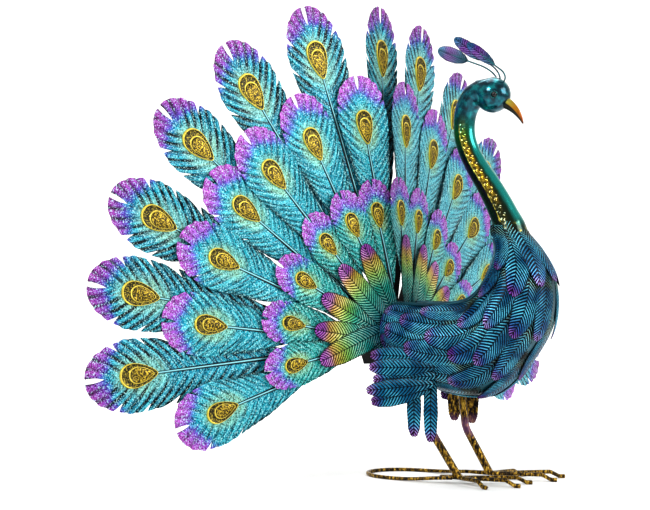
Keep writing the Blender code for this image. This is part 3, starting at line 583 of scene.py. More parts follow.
# Inner feathers. The smallest with eyes, greener towards the root, pressed and painted as the
# others are and welded in the next two layers.
INNER_LOBES = (
    (((0.5, 1.7), (3.5, 10), (11, 17), (21, 20.5), (27, 15)), 4),
    (((27, 15), (24, 20), (42, 21), (72, 15.5), (108, 3.0)), 10),
)
INNER_SLOT = 10.0
INNER_RELIEF = 0.6
INNER_TOOTH = 0.8
INNER_EYE = (50.0, 26.0, 9.5)
INNER_ROOT_BACK = 129.7
INNER_BLADE = ((0.3, "#045C58"), (0.42, "#0A8C8C"), (0.55, "#1AAEAC"), (0.7, "#6CD0B8"))
inner_enamel = feather_enamel("inner_glitter_enamel", SOFT_VIOLET_TIP, INNER_BLADE,
                              eye_back=39.0, eye_reach=12.0, halo="#B4D486", shade_and_grit="#031814",
                              groove_dark=0.8)
inner_master = pressed_feather("inner_master", INNER_LOBES, INNER_SLOT, INNER_RELIEF, INNER_TOOTH,
                               INNER_EYE, INNER_ROOT_BACK, inner_enamel)
lay_row(inner_master, INNER_LOBES, "inner_feather")

# Small feathers. Five plain pressed leaves on each half cover the hub, lapped over each other and
# welded. They are painted violet at the tip, then ochre, green and teal, with dark barb lines.
FAN_ROOT = Vector((3.64, -20.12, 130.7)) * MM
FOLD_LEAN = math.radians(4.8)
FOLD = Vector((-math.sin(FOLD_LEAN), 0.0, math.cos(FOLD_LEAN)))
LEAF_LEAN = ((0.0, 30.0), (0.06, 44.0), (1.0, 44.0))
SMALL_LOBES = ((((0.4, 0.8), (1.4, 4.0), (4.5, 6.8), (11, 9.4), (26, 12.2), (58, 12.4), (91, 5)), 28),)
LEAF_SLOT = 1.2
SMALL_RELIEF = 0.55
SMALL_TOOTH = 0.5
SMALL_TIP = 112.0
SMALL_LIFT = 10.0
SMALL_PITCH = 0.75
SMALL_RISE = 26.0
SMALL_LEVELS = (0, 1, 0, 1, 2)
SMALL_ANGLES = {"right": (23.0, 42.0, 61.0, 78.0, 108.0), "left": (5.0, 26.0, 43.0, 61.0, 80.0)}
LEAF_CLOUD_MM = 22.2222


def leaf_enamel(name, tip_ramp, reach, groove, ridge, crown_highlight, groove_share):
    """Enamel over herringbone barbs: a ramp from the tip, dark grooves, painted highlights on the crowns and
    painted shade along the edges.
    """
    material, node, shader = new_material(name)
    across, back = node("SeparateXYZ", [node("UVMap", uv_map="place")]).outputs[:2]
    ridges, share = node("SeparateXYZ", [node("UVMap", uv_map="barb")]).outputs[:2]
    world_place = node("TexCoord").outputs["Object"]
    grit = node("TexNoise", {"Vector": world_place, "Scale": 1000.0 / GRIT_MM, "Detail": 2.0})
    cloud = node("TexNoise", {"Vector": world_place, "Scale": 1000.0 / LEAF_CLOUD_MM, "Detail": 2.0})
    out = node("Math", [across], operation="ABSOLUTE")
    lag = node("Math", [out, 0.25, back], operation="MULTIPLY_ADD")
    lag = node("Math", [grit, 5.0, lag], operation="MULTIPLY_ADD")
    lag = node("Math", [lag, 2.5], operation="SUBTRACT")
    colour = node("ValToRGB", [node("Math", [lag, reach], operation="DIVIDE")], tip_ramp)
    shade = node("MapRange", [cloud, 0.37, 0.63, 0.0, 1.0])
    shading = node("ValToRGB", [shade], ((0.0, ridge), (1.0, "#FFFFFF")))
    colour = node("MixRGB", [0.65, colour, shading], blend_type="MULTIPLY")
    # Painted highlights on the crowns, then dark grooves, a dark rib, painted shade along the edge, and
    # specks of dark grit.
    hill = node("Math", [ridges, 0.5], operation="PINGPONG")
    top = node("MapRange", [hill, 0.38, 0.48, 0.0, 0.95])
    top = node("Math", [top, shade], operation="MULTIPLY")
    low = node("MapRange", [hill, groove_share * 0.55, groove_share, 1.0, 0.0])
    rib = node("MapRange", [out, 0.35, 0.7, 0.8, 0.0])
    edge = node("Math", [share], operation="ABSOLUTE")
    edge = node("MapRange", [edge, 0.86, 0.95, 0.0, 0.85])
    specks = node("MapRange", [grit, 0.43, 0.37, 0.0, 0.8])
    for mask, paint in ((top, crown_highlight), (low, groove), (rib, groove), (edge, groove), (specks, groove)):
        colour = node("MixRGB", [mask, colour, paint])
    bump = node("Bump", {"Height": grit, "Distance": 0.3 * MM, "Strength": 0.5})
    fill(shader, {"Base Color": colour, "Metallic": 0.3, "Roughness": 0.34, "Specular IOR Level": 0.14,
                  "Coat Weight": 0.04, "Coat Roughness": 0.15, "Normal": bump})
    return material


small_enamel = leaf_enamel(
    "small_leaf_enamel",
    ((0.0, "#C050C8"), (0.11, "#BC58BC"), (0.16, "#D8924C"), (0.23, "#E4C850"), (0.32, "#94CC68"),
     (0.42, "#2EB4A0"), (0.65, "#0A8498")),
    reach=SMALL_TIP, groove="#041214", ridge="#A8D8CC", crown_highlight="#ECF8D8", groove_share=0.22)
small_master = pressed_vane("small_master", SMALL_LOBES, LEAF_SLOT, SMALL_RELIEF, SMALL_TOOTH,
                            small_enamel, LEAF_LEAN, steps=5, rows_per_ridge=5)
paint_behind(small_master, plain_back)


def copied(master, name, placed):
    """A copy of a master whose corners, in mm, are put in place by a function."""
    mesh = master.data.copy()
    mesh.vertices.foreach_set("co", placed(corners_of(mesh) / MM).ravel())
    mesh.update()
    return put_in_scene(name, mesh)


def laid_leaf(master, name, tip, along, front, raised=0.0, wide=1.0, long=1.0):
    """A flat copy of a pressed leaf, stretched, with its tip at a place in metres.

    The leaf runs back from its tip against one direction, its front looks along another, and it
    is raised by some mm towards its front.
    """
    axes = np.array((along.cross(front), along, front))
    stretch = np.array((wide, long, 1.0))
    lift = np.array((0.0, 0.0, raised))
    return copied(master, name, lambda points: np.array(tip) + (points * stretch + lift) @ axes * MM)


fan_forward = {}
for side_name, side in (("right", -1), ("left", 1)):
    forward = seat_of(f"inner_feather_{side_name}_1")[0].col[2].xyz
    fan_forward[side_name] = np.array(forward)
    outward = FOLD.cross(forward) * side
    leaves = []
    for level, angle in zip(SMALL_LEVELS, SMALL_ANGLES[side_name]):
        turn = math.radians(angle)
        along = FOLD * math.cos(turn) + outward * math.sin(turn)
        rise = SMALL_RISE if angle > 90.0 else 0.0
        tip = FAN_ROOT + (FOLD * rise + along * SMALL_TIP) * MM
        leaves.append(laid_leaf(small_master, "leaf", tip, along, forward, SMALL_LIFT + SMALL_PITCH * level))
    small = join(leaves, f"small_feathers_{side_name}_vanes")
    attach(small, "root")
    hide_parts(f"small_feathers_{side_name}")
bpy.data.objects.remove(small_master)

# Fan frame. Flat steel bars on edge run from a thick hub behind the outer feathers. Satin black
# paint, a little chalky with dust, with a dull sheen.
DUST_MM = 8.33333
black_paint, node, shader = new_material("satin_black_paint")
dust = node("TexNoise", {"Vector": node("TexCoord").outputs["Object"], "Scale": 1000.0 / DUST_MM,
                         "Detail": 4.0})
colour = node("ValToRGB", [dust], ((0.35, "#030405"), (0.62, "#0A0B0D"), (0.78, "#1A1C1E")))
rough = node("MapRange", [dust, 0.3, 0.7, 0.6, 0.8])
bump = node("Bump", {"Height": dust, "Distance": 0.3 * MM, "Strength": 0.4})
fill(shader, {"Base Color": colour, "Roughness": rough, "Specular IOR Level": 0.2, "Normal": bump})
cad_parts["fan_frame"].data.materials[0] = black_paint

# Body. A shell pressed in two halves, open and hollowed along the back between two rolled rims,
# and covered with leaf plates that lap like shingles from the neck to the tail, each pressed with
# a herringbone and spot-welded at its root. Deep teal enamel, black in the grooves, violet tips.
BIRD = Vector((82.94, -20.12, 0.0)) * MM
# Sections from the neck seat round the breast to the tail: the back point (x, z), the breast or
# belly point (x, z) and the half width, in mm from the floor between the feet.
BODY_SECTIONS = (
    (18.5, 242, 55.5, 242, 18.5), (24, 236, 68, 226, 26), (26, 225, 79.5, 202, 35),
    (24, 215, 82, 175, 43), (21, 206, 75.5, 147, 49), (17, 197, 57.5, 120, 54),
    (10, 188, 38, 97, 57), (-2, 181, 10, 84, 57), (-26, 177, -28, 89, 55), (-52, 176, -58, 101, 49),
    (-78, 175, -82, 119, 38), (-93, 168, -94, 134, 24), (-99, 156, -99, 146, 6),
)
SKIN_SIDES = 96
SKIN_RINGS = 72
SKIN_DEPTH = 0.3
FAN_AHEAD = 12.7
HOLLOW_START = math.radians(157.0)
HOLLOW_DEPTH = 5.0
RIM_ANGLE = math.radians(153.0)
RIM_RADIUS = 2.6
RIM_SPREAD = 0.045
RIM_SINK = 0.8
RIM_SIDES = 10
RIM_RINGS = 48
BODY_LEAF_LENGTH = 62.0
BODY_LOBES = ((((0.3, 0.9), (1.4, 4.0), (5, 7.0), (12, 10.2), (24, 13.2), (42, 13.6), (62, 10.5)), 22),)
BODY_RELIEF = 0.65
BODY_TOOTH = 0.35
# Leaf tips: section number and angle from the belly line, in degrees, laid on both sides.
BODY_TIPS = (
    (2.2, 0), (2.5, 41), (3.45, 82), (2.9, 122), (4.3, 25), (4.65, 58), (5.35, 93), (5.25, 131), (5.7, 0),
    (6.1, 40), (6.4, 70), (6.9, 117), (7.3, 84), (7.0, 17), (7.5, 52), (8.1, 104), (8.3, 0), (8.6, 60),
    (8.6, 138), (8.9, 83), (8.7, 30), (9.3, 120), (9.6, 46), (9.7, 0), (9.9, 96), (10.3, 72), (10.6, 24),
    (10.7, 132), (11.1, 50), (11.2, 108), (11.3, 0), (11.6, 80),
)
LEAF_TILT = 3.0
LEAF_SINK = 0.5
LEAF_CURL = 0.9
LEAF_HALF_WIDTH = 13.0
LINE_STEP = 0.04
# Half the angle, in radians, that a leaf's width is measured over, and the least mm to a radian.
MEASURED_TURN = 0.01
TIGHTEST = 8.0
# The roots of the uppermost leaves, whose tips lie before this section, stand up round the neck,
# along its lean, past the level seat. Their tops are in sections above it, by their angle.
COLLAR_END = 4.0
COLLAR_TOPS = {0: -0.3, 41: -0.55, 82: -0.25, 122: -0.35}
COLLAR_WAY = np.array([-7.0, 0.0, 25.0])
COLLAR_NARROWING = 5.5
LONGEST_LEAF = 1.16


def smooth_row(controls, position):
    """Catmull-Rom reading of a table at fractional row numbers."""
    table = np.array(controls, float)
    last = len(table) - 1
    index = np.clip(position.astype(int), 0, last - 1)
    share = (position - index)[..., None]
    a, b, c, d = (table[np.clip(index + step, 0, last)] for step in (-1, 0, 1, 2))
    return (2 * b + (c - a) * share + (2 * a - 5 * b + 4 * c - d) * share ** 2
            + (3 * b - a - 3 * c + d) * share ** 3) / 2


def body_place(position, angle, lift):
    """Points on the body in metres: section number, angle from the belly line, lift in mm."""
    rows = smooth_row(BODY_SECTIONS, np.maximum(position, 0.0))
    flat = np.zeros_like(position)
    back = np.stack([rows[..., 0], flat, rows[..., 1]], -1)
    belly = np.stack([rows[..., 2], flat, rows[..., 3]], -1)
    reach = (belly - back) / 2
    size = np.linalg.norm(reach, axis=-1, keepdims=True)
    half = rows[..., 4:5]
    cos, sin = np.cos(angle)[..., None], np.sin(angle)[..., None]
    sideways = np.array([0.0, 1.0, 0.0])
    out = reach / size * cos * half + sideways * sin * size
    out /= np.linalg.norm(out, axis=-1, keepdims=True)
    past = np.maximum(-position, 0.0)[..., None]
    points = (back + belly) / 2 + reach * cos + sideways * sin * half + past * COLLAR_WAY
    points = (points + out * (np.asarray(lift)[..., None] - COLLAR_NARROWING * past)) * MM + np.array(BIRD)
    return ahead_of_fan(points)


def ahead_of_fan(points):
    """Push what lies behind the fan's front forwards onto the nearer half."""
    root = np.array(FAN_ROOT)
    depths = [(points - root) @ fan_forward[name] - FAN_AHEAD * MM for name in ("right", "left")]
    behind = (depths[0] < 0) & (depths[1] < 0)
    nearer = depths[0] > depths[1]
    moved = points.copy()
    for name, depth, chosen in (("right", depths[0], nearer), ("left", depths[1], ~nearer)):
        part = behind & chosen
        moved[part] -= depth[part][:, None] * fan_forward[name]
    return moved


turns = np.linspace(-math.pi, math.pi, SKIN_SIDES, endpoint=False)
stations = np.linspace(0.0, len(BODY_SECTIONS) - 1, SKIN_RINGS)
hollow_share = np.clip((np.abs(turns) - HOLLOW_START) / (math.pi - HOLLOW_START), 0, 1)
hollow = HOLLOW_DEPTH * np.sin(0.5 * math.pi * hollow_share)
fade = smooth_step(0.5, 2.5, stations)
skin_rings = [body_place(np.full(SKIN_SIDES, station), turns, -SKIN_DEPTH - hollow * share) / MM
              for station, share in zip(stations, fade)]
skin_places = np.array([(math.degrees(turn), station) for station in stations for turn in turns])

# Deep teal enamel brushed thin over black along the shell, so that dark lines run to the tail.
shell_enamel, node, shader = new_material("brushed_teal_enamel")
degrees, station = node("SeparateXYZ", [node("UVMap", uv_map="place")]).outputs[:2]
brushed = node("CombineXYZ", [node("Math", [degrees, 0.9], operation="MULTIPLY"), station])
lines = node("TexNoise", {"Vector": brushed, "Scale": 1.0, "Detail": 3.0})
colour = node("ValToRGB", [lines], ((0.32, "#03151C"), (0.5, "#073A48"), (0.66, "#12687A")))
bump = node("Bump", {"Height": lines, "Distance": 0.3 * MM, "Strength": 0.5})
fill(shader, {"Base Color": colour, "Metallic": 0.3, "Roughness": 0.35, "Normal": bump})

skin = ring_mesh("body_shell", skin_rings, skin_places, np.zeros_like(skin_places), shell_enamel)

body_enamel = leaf_enamel(
    "herringbone_enamel",
    ((0.0, "#C050C8"), (0.1, "#A048C4"), (0.15, "#4444BC"), (0.2, "#0864B0"), (0.4, "#0486B4"),
     (0.78, "#04749C"), (0.9, "#5A4C14"), (0.97, "#0A0A04")),
    reach=BODY_LEAF_LENGTH, groove="#01060A", ridge="#286C94", crown_highlight="#90F4FC", groove_share=0.34)
leaf_master = pressed_vane("leaf_master", BODY_LOBES, LEAF_SLOT, BODY_RELIEF, BODY_TOOTH, body_enamel,
                           LEAF_LEAN, steps=3, rows_per_ridge=4)


def leaf_on_body(tip_at, degrees, side):
    """A leaf plate bent onto the body, from its tip up along a line of equal angle."""
    middle = math.radians(degrees) * side
    upper = tip_at < COLLAR_END
    line = np.arange(tip_at, COLLAR_TOPS.get(degrees, 0.0) if upper else 0.0, -LINE_STEP)
    lay = body_place(line, np.full_like(line, middle), np.zeros_like(line))
    walk = np.concatenate([[0.0], np.cumsum(np.linalg.norm(np.diff(lay, axis=0), axis=1))]) / MM
    stretch = min(LONGEST_LEAF if upper else 1.0, walk[-1] / BODY_LEAF_LENGTH)

    def on_body(points):
        behind = -points[:, 1] * stretch
        at = np.interp(behind, walk, line)
        ends = [body_place(at, np.full_like(at, middle + turn), 0 * at)
                for turn in (-MEASURED_TURN, MEASURED_TURN)]
        wide = np.linalg.norm(ends[1] - ends[0], axis=1) / (2 * MEASURED_TURN) / MM
        lift = points[:, 2] + LEAF_TILT * (1.0 - behind / BODY_LEAF_LENGTH) - LEAF_SINK
        lift -= LEAF_CURL * (points[:, 0] / LEAF_HALF_WIDTH) ** 2
        return body_place(at, middle - points[:, 0] / np.maximum(wide, TIGHTEST), lift)
    return copied(leaf_master, "leaf", on_body)


body_parts = [skin]
for tip_at, degrees in BODY_TIPS:
    for side in ((-1, 1) if degrees else (1,)):
        body_parts.append(leaf_on_body(tip_at, degrees, side))

# The rolled rims of the two halves, along the hollow of the back.
for side in (-1, 1):
    line = np.linspace(0.8, len(BODY_SECTIONS) - 1.2, RIM_RINGS)
    rim_rings = []
    for turn in np.linspace(0.0, 2 * math.pi, RIM_SIDES, endpoint=False):
        angle = side * (RIM_ANGLE + RIM_SPREAD * math.cos(turn))
        lift = RIM_RADIUS * (0.6 + math.sin(turn)) - RIM_SINK
        rim_rings.append(body_place(line, np.full_like(line, angle), lift))
    rim_rings = list(np.array(rim_rings).transpose(1, 0, 2) / MM)
    maps = np.array([(step * 4.0, station) for station in line for step in range(RIM_SIDES)])
    body_parts.append(ring_mesh("rim", rim_rings, maps, np.zeros_like(maps), shell_enamel))
bpy.data.objects.remove(leaf_master)
body_piece = join(body_parts, "feathered_body")
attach(body_piece, "root")
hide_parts("body")

# Neck and head. A steel tube, bent and drawn out, with a pressed head soldered on and glass-bright
# black eyes. Candy lacquer: satin teal in front, hammered gold at the sides, green black behind.
# The path holds the middle (x, z) and the radius of the tube, in mm.
NECK_PATH = (
    (37.0, 242.3, 17.8), (35.5, 250, 15.8), (32.2, 258, 14.0), (23.4, 275, 12.8), (13.4, 291.7, 11.8),
    (3.4, 306.5, 11.0), (-5.2, 322.4, 10.5), (-10.0, 337.3, 10.4), (-10.4, 352.5, 10.6),
    (-7.4, 365.8, 11.2), (-1.0, 375.6, 12.2), (8.0, 379.4, 14.0),
)
HEAD_CENTRE = np.array([19.4, 0.0, 377.2])
HEAD_RADIUS = 17.4
HEAD_PITCH = math.radians(-14.0)
HEAD_ANGLES = (118, 108, 98, 88, 78, 68, 58, 48, 38, 28, 18, 9, 3)
NECK_SIDES = 72
NECK_STEPS = 16
HAMMER_PITCH = 7.5
HAMMER_DEPTH = 1.6
GOLD_FRONT = 58.0
GOLD_BACK = 94.0
GOLD_HEIGHTS = (250, 262, 345, 356)
# The ragged line behind the gold: its middle and width in degrees, its height and its rise in mm.
LINE_AT = GOLD_BACK + 3.0
LINE_WIDTH = 3.5
LINE_HEIGHTS = (246, 256, 345, 356)
LINE_RISE = 0.55
# The head's rings are drawn on the map as if at this height, above all of the neck.
HEAD_ON_MAP = 400.0
EYE_RADIUS = 2.8
EYE_TURN = math.radians(66.0)
EYE_RISE = math.radians(-4.0)
EYE_SINK = 0.2
SOCKET_SIZE = 1.12
SOCKET_RADIUS = 0.55
LACQUER_MOTTLE_MM = 6.25
SOLDER_GRAIN_MM = 1.11111


def band(values, rise_from, rise_to, fall_from, fall_to):
    """0 outside a band of values, 1 inside it, and smooth at its two edges."""
    return smooth_step(rise_from, rise_to, values) * (1.0 - smooth_step(fall_from, fall_to, values))


def followed(path, stations):
    """A path read at even steps: its rows, the tube's middle at each, and its direction there."""
    rows = smooth_row(path, np.linspace(0, len(path) - 1, stations))
    centres = np.stack([rows[:, 0], np.zeros(stations), rows[:, 1]], -1)
    return rows, centres, np.gradient(centres, axis=0)


def tube_ring(centre, along, turn, deep, wide):
    """One ring of the bird's neck or beak, square to the tube, in mm."""
    across = np.array([along[2], 0.0, -along[0]]) / np.linalg.norm(along)
    ring = centre + np.outer(deep * np.cos(turn), across) + np.outer(wide * np.sin(turn), (0.0, 1.0, 0.0))
    return ring + np.array(BIRD) / MM


def neck_ring(centre, along, radius, height):
    """One ring and its maps: degrees from the front, height in mm, hammer marks and bright line."""
    turn = np.linspace(0.0, 2 * math.pi, NECK_SIDES, endpoint=False)
    degrees = np.degrees(np.minimum(turn, 2 * math.pi - turn))
    on_gold = band(degrees, GOLD_FRONT - 6, GOLD_FRONT + 4, GOLD_BACK - 4, GOLD_BACK + 1)
    on_gold *= band(height, *GOLD_HEIGHTS)
    marks = 2 * math.pi / HAMMER_PITCH
    knock = np.sin(height * marks) * np.sin(np.radians(degrees) * radius * marks) * on_gold
    line = np.exp(-((degrees - LINE_AT) / LINE_WIDTH) ** 2) * band(height, *LINE_HEIGHTS)
    size = radius + HAMMER_DEPTH * 0.5 * knock + LINE_RISE * line
    return (tube_ring(centre, along, turn, size, size),
            np.array([degrees, np.full(NECK_SIDES, height), knock, line]).T)


neck_line, centres, ways = followed(NECK_PATH, NECK_STEPS * (len(NECK_PATH) - 1) + 1)
ways[0] = UP
rings = [neck_ring(centre, way, row[2], row[1]) for centre, way, row in zip(centres, ways, neck_line)]
head_way = np.array([math.cos(HEAD_PITCH), 0.0, math.sin(HEAD_PITCH)])
for degrees in HEAD_ANGLES:
    turn = math.radians(degrees)
    rings.append(neck_ring(HEAD_CENTRE + head_way * HEAD_RADIUS * math.cos(turn), head_way,
                           HEAD_RADIUS * math.sin(turn), HEAD_ON_MAP))
neck_rings, neck_maps = zip(*rings)
neck_maps = np.concatenate(neck_maps)

# Clear coloured lacquer over bright steel, mottled by hand, so that the metal shines through it.
lacquer, node, shader = new_material("candy_lacquer_on_steel")
degrees, height = node("SeparateXYZ", [node("UVMap", uv_map="place")]).outputs[:2]
knock, line = node("SeparateXYZ", [node("UVMap", uv_map="barb")]).outputs[:2]
mottle = node("TexNoise", {"Vector": node("TexCoord").outputs["Object"],
                           "Scale": 1000.0 / LACQUER_MOTTLE_MM, "Detail": 3.0})
turned = node("Math", [mottle, 14.0, degrees], operation="MULTIPLY_ADD")
turned = node("Math", [turned, 7.0], operation="SUBTRACT")
colour = node("ValToRGB", [node("Math", [turned, 180.0], operation="DIVIDE")], (
    (0.0, "#0FA49A"), (0.24, "#0B8E86"), (0.3, "#0C4A2C"), (0.34, "#3A3A0A"), (0.4, "#C09C1E"),
    (0.5, "#7A6810"), (0.56, "#06140A"), (0.75, "#03100C")))
dent = node("MapRange", [knock, 0.0, -0.7, 0.0, 0.85])
# Green creeps into the gold at the top of the neck and darkens it towards the shoulders.
sides = node("MapRange", [degrees, 30.0, 52.0])
top = node("MapRange", [height, 322.0, 342.0, 0.0, 0.8])
top = node("Math", [top, sides], operation="MULTIPLY")
low = node("MapRange", [height, 290.0, 266.0, 0.0, 0.92])
low = node("Math", [low, sides], operation="MULTIPLY")
# The ragged bright line of gold between the hammered side and the dark back.
ragged = node("Math", [mottle, 1.4, line], operation="MULTIPLY_ADD")
ragged = node("MapRange", [ragged, 1.15, 1.35])
# The head is plain teal, and the foot of the neck is darker, with flecks of gold.
rise = node("MapRange", [height, 340.0, 360.0])
teal = node("ValToRGB", [mottle], ((0.36, "#022C38"), (0.52, "#045866"), (0.68, "#0E8C90")))
foot = node("MapRange", [height, 254.0, 247.0, 0.0, 0.9])
dark_foot = node("ValToRGB", [mottle], ((0.44, "#050C06"), (0.6, "#26300E"), (0.7, "#8C7C2A")))
for mask, paint in ((dent, "#1E1C04"), (top, "#1C6A1E"), (low, "#0A2408"), (ragged, "#EAD658"),
                    (rise, teal), (foot, dark_foot)):
    colour = node("MixRGB", [mask, colour, paint])
bump = node("Bump", {"Height": mottle, "Distance": 0.5 * MM, "Strength": 0.25})
fill(shader, {"Base Color": colour, "Metallic": 0.75, "Roughness": 0.18, "Coat Weight": 0.4,
              "Coat Roughness": 0.08, "Normal": bump})

# Black glass bead in a dark soldered ring.
bead_glass, node, shader = new_material("black_glass_bead")
fill(shader, {"Base Color": "#050607", "Roughness": 0.06})
solder, node, shader = new_material("darkened_solder")
grain = node("TexNoise", {"Vector": node("TexCoord").outputs["Object"], "Scale": 1000.0 / SOLDER_GRAIN_MM})
colour = node("ValToRGB", [grain], ((0.4, "#0A3A40"), (0.6, "#4C9A98")))
fill(shader, {"Base Color": colour, "Metallic": 0.8, "Roughness": 0.35})

parts = [ring_mesh("neck_tube", neck_rings, neck_maps[:, :2], neck_maps[:, 2:], lacquer)]
for side in (-1, 1):
    gaze = Vector((math.cos(EYE_TURN) * math.cos(EYE_RISE), side * math.sin(EYE_TURN) * math.cos(EYE_RISE),
                   math.sin(EYE_RISE)))
    spot = Vector(HEAD_CENTRE) * MM + BIRD + gaze * (HEAD_RADIUS - EYE_RADIUS * EYE_SINK) * MM
    bpy.ops.object.select_all(action="DESELECT")
    bpy.ops.mesh.primitive_uv_sphere_add(segments=24, ring_count=16, radius=EYE_RADIUS * MM, location=spot)
    bead = bpy.context.object
    bpy.ops.mesh.primitive_torus_add(
        major_segments=32, minor_segments=10, major_radius=EYE_RADIUS * SOCKET_SIZE * MM,
        minor_radius=SOCKET_RADIUS * MM, location=spot + gaze * 0.1 * MM,
        rotation=gaze.to_track_quat("Z", "Y").to_euler())
    socket = bpy.context.object
    bead.select_set(True)
    bpy.ops.object.shade_smooth()
    bead.data.materials.append(bead_glass)
    socket.data.materials.append(solder)
    parts += [bead, socket]
head = join(parts, "lacquered_neck_and_head")
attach(head, "root")
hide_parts("neck_and_head")

# Beak. A pressed, pointed sheath soldered to the face, green gold at the head and orange towards
# the point, with the lower half left dark and a groove where the two halves meet.
# The path holds the middle (x, z), the half height and the half width, in mm.
BEAK_PATH = (
    (28.0, 371.0, 6.6, 5.4), (30.5, 369.5, 6.4, 5.0), (36.5, 366.0, 5.6, 4.4), (42.5, 360.6, 4.2, 3.4),
    (47.0, 354.6, 2.6, 2.2), (49.6, 349.6, 1.2, 1.1), (50.3, 348.0, 0.5, 0.5),
)
BEAK_SIDES = 32
BEAK_STATIONS = 31
BEAK_GROOVE = 0.16
BEAK_GROOVE_WIDTH = 0.03
BEAK_SLIMMER = 0.82
BEAK_MOTTLE_MM = 2.85714
beak_line, centres, ways = followed(BEAK_PATH, BEAK_STATIONS)
turn = np.linspace(0.0, 2 * math.pi, BEAK_SIDES, endpoint=False)
beak_rings, beak_maps = [], []
for centre, way, row, share in zip(centres, ways, beak_line, np.linspace(0.0, 1.0, BEAK_STATIONS)):
    groove = np.exp(-((np.abs(np.sin(turn)) - 1.0) / BEAK_GROOVE_WIDTH) ** 2) * (1.0 - share)
    slim = np.where(np.cos(turn) > 0, BEAK_SLIMMER, 1.0)
    beak_rings.append(tube_ring(centre, way, turn, row[2] * slim, row[3] * (1.0 - BEAK_GROOVE * groove)))
    beak_maps.append(np.array([np.cos(turn), np.full(BEAK_SIDES, share)]).T)
beak_maps = np.concatenate(beak_maps)

# Orange and gold lacquer over steel, laid on in drifts, glossy like the neck's.
gold, node, shader = new_material("orange_gold_lacquer")
upper, along = node("SeparateXYZ", [node("UVMap", uv_map="place")]).outputs[:2]
mottle = node("TexNoise", {"Vector": node("TexCoord").outputs["Object"], "Scale": 1000.0 / BEAK_MOTTLE_MM,
                           "Detail": 3.0})
reach = node("Math", [mottle, 0.25, along], operation="MULTIPLY_ADD")
colour = node("ValToRGB", [reach], ((0.22, "#4C6C50"), (0.4, "#A8A03C"), (0.58, "#BC8014"),
                                    (0.8, "#9A4E0C"), (1.0, "#5A2808")))
under = node("MapRange", [upper, -0.14, -0.06])
colour = node("MixRGB", [under, colour, "#1C1A10"])
fill(shader, {"Base Color": colour, "Metallic": 0.6, "Roughness": 0.28, "Coat Weight": 0.4})
beak = ring_mesh("lacquered_beak", beak_rings, beak_maps, beak_maps, gold)
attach(beak, "root")
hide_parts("beak")

# Crest. Three steel wires soldered into the crown, each with a small pressed leaf. The wires are
# dark teal and the leaves violet down the middle with a blue green edge.
# Each plume: the wire's foot and bend, the leaf's root and tip, and the leaf's half width, in mm.
CREST_PLUMES = (
    ((24.2, 2.4, 391.0), (15.0, 5.6, 401.0), (-10.9, 10.0, 413.0), (-45.0, 14.0, 426.5), 7.4),
    ((27.4, 0.0, 389.5), (24.5, 0.0, 399.0), (10.0, 0.0, 411.7), (-21.6, 0.0, 435.0), 6.4),
    ((30.4, -2.2, 387.5), (33.2, -4.0, 395.0), (24.6, -9.0, 405.0), (-2.5, -14.0, 427.5), 5.4),
)
CREST_LEAF = ((((0.2, 0.3), (1.2, 2.6), (5, 5.4), (13, 7.4), (24, 7.0), (33, 4.2), (37, 0.9)), 14),)
CREST_SLOT = 0.6
CREST_RELIEF = 0.35
CREST_TOOTH = 0.2
CREST_LEAF_HALF = 7.4
CREST_LEAF_LENGTH = 37.0
CREST_WIRE = 0.8
CREST_WIRE_END = 0.4
CREST_WIRE_DEEP = 1.5
CREST_WIRE_LAP = 0.55
CREST_LEAF_SINK = 0.5
WIRE_GRAIN_MM = 1.42857
crest_enamel = leaf_enamel(
    "crest_leaf_enamel",
    ((0.0, "#4090AC"), (0.2, "#5078B0"), (0.36, "#9438AC"), (0.54, "#8444A4"), (0.75, "#447090"),
     (1.0, "#283C48")),
    reach=CREST_LEAF_LENGTH, groove="#0A1424", ridge="#A8B4DC", crown_highlight="#B4E0EC", groove_share=0.24)
# Thin dark teal enamel on wire, with a fine grain where the metal rubs through.
wire_enamel, node, shader = new_material("dark_teal_wire_enamel")
grain = node("TexNoise", {"Vector": node("TexCoord").outputs["Object"], "Scale": 1000.0 / WIRE_GRAIN_MM})
colour = node("ValToRGB", [grain], ((0.4, "#0A2A32"), (0.62, "#2E7C86")))
fill(shader, {"Base Color": colour, "Metallic": 0.5, "Roughness": 0.35})
crest_master = pressed_vane("crest_master", CREST_LEAF, CREST_SLOT, CREST_RELIEF, CREST_TOOTH,
                            crest_enamel, LEAF_LEAN, steps=5, rows_per_ridge=6)


def rod(name, points, radii, material):
    """A smooth round rod through points in metres, as a mesh with closed ends."""
    curve = bpy.data.curves.new(name, "CURVE")
    curve.dimensions = "3D"
    curve.bevel_depth = 1.0
    curve.bevel_resolution = 6
    curve.use_fill_caps = True
    curve.resolution_u = 10
    spline = curve.splines.new("BEZIER")
    spline.bezier_points.add(len(points) - 1)
    for knot, point, radius in zip(spline.bezier_points, points, radii):
        knot.co = point
        knot.radius = radius
        knot.handle_left_type = knot.handle_right_type = "AUTO"
    put_in_scene(name, curve)
    bpy.ops.object.convert(target="MESH")
    made = bpy.context.object
    made.data.materials.clear()
    made.data.materials.append(material)
    mend_mesh(0.01)
    bpy.ops.object.shade_smooth_by_angle(angle=math.radians(50.0))
    return made


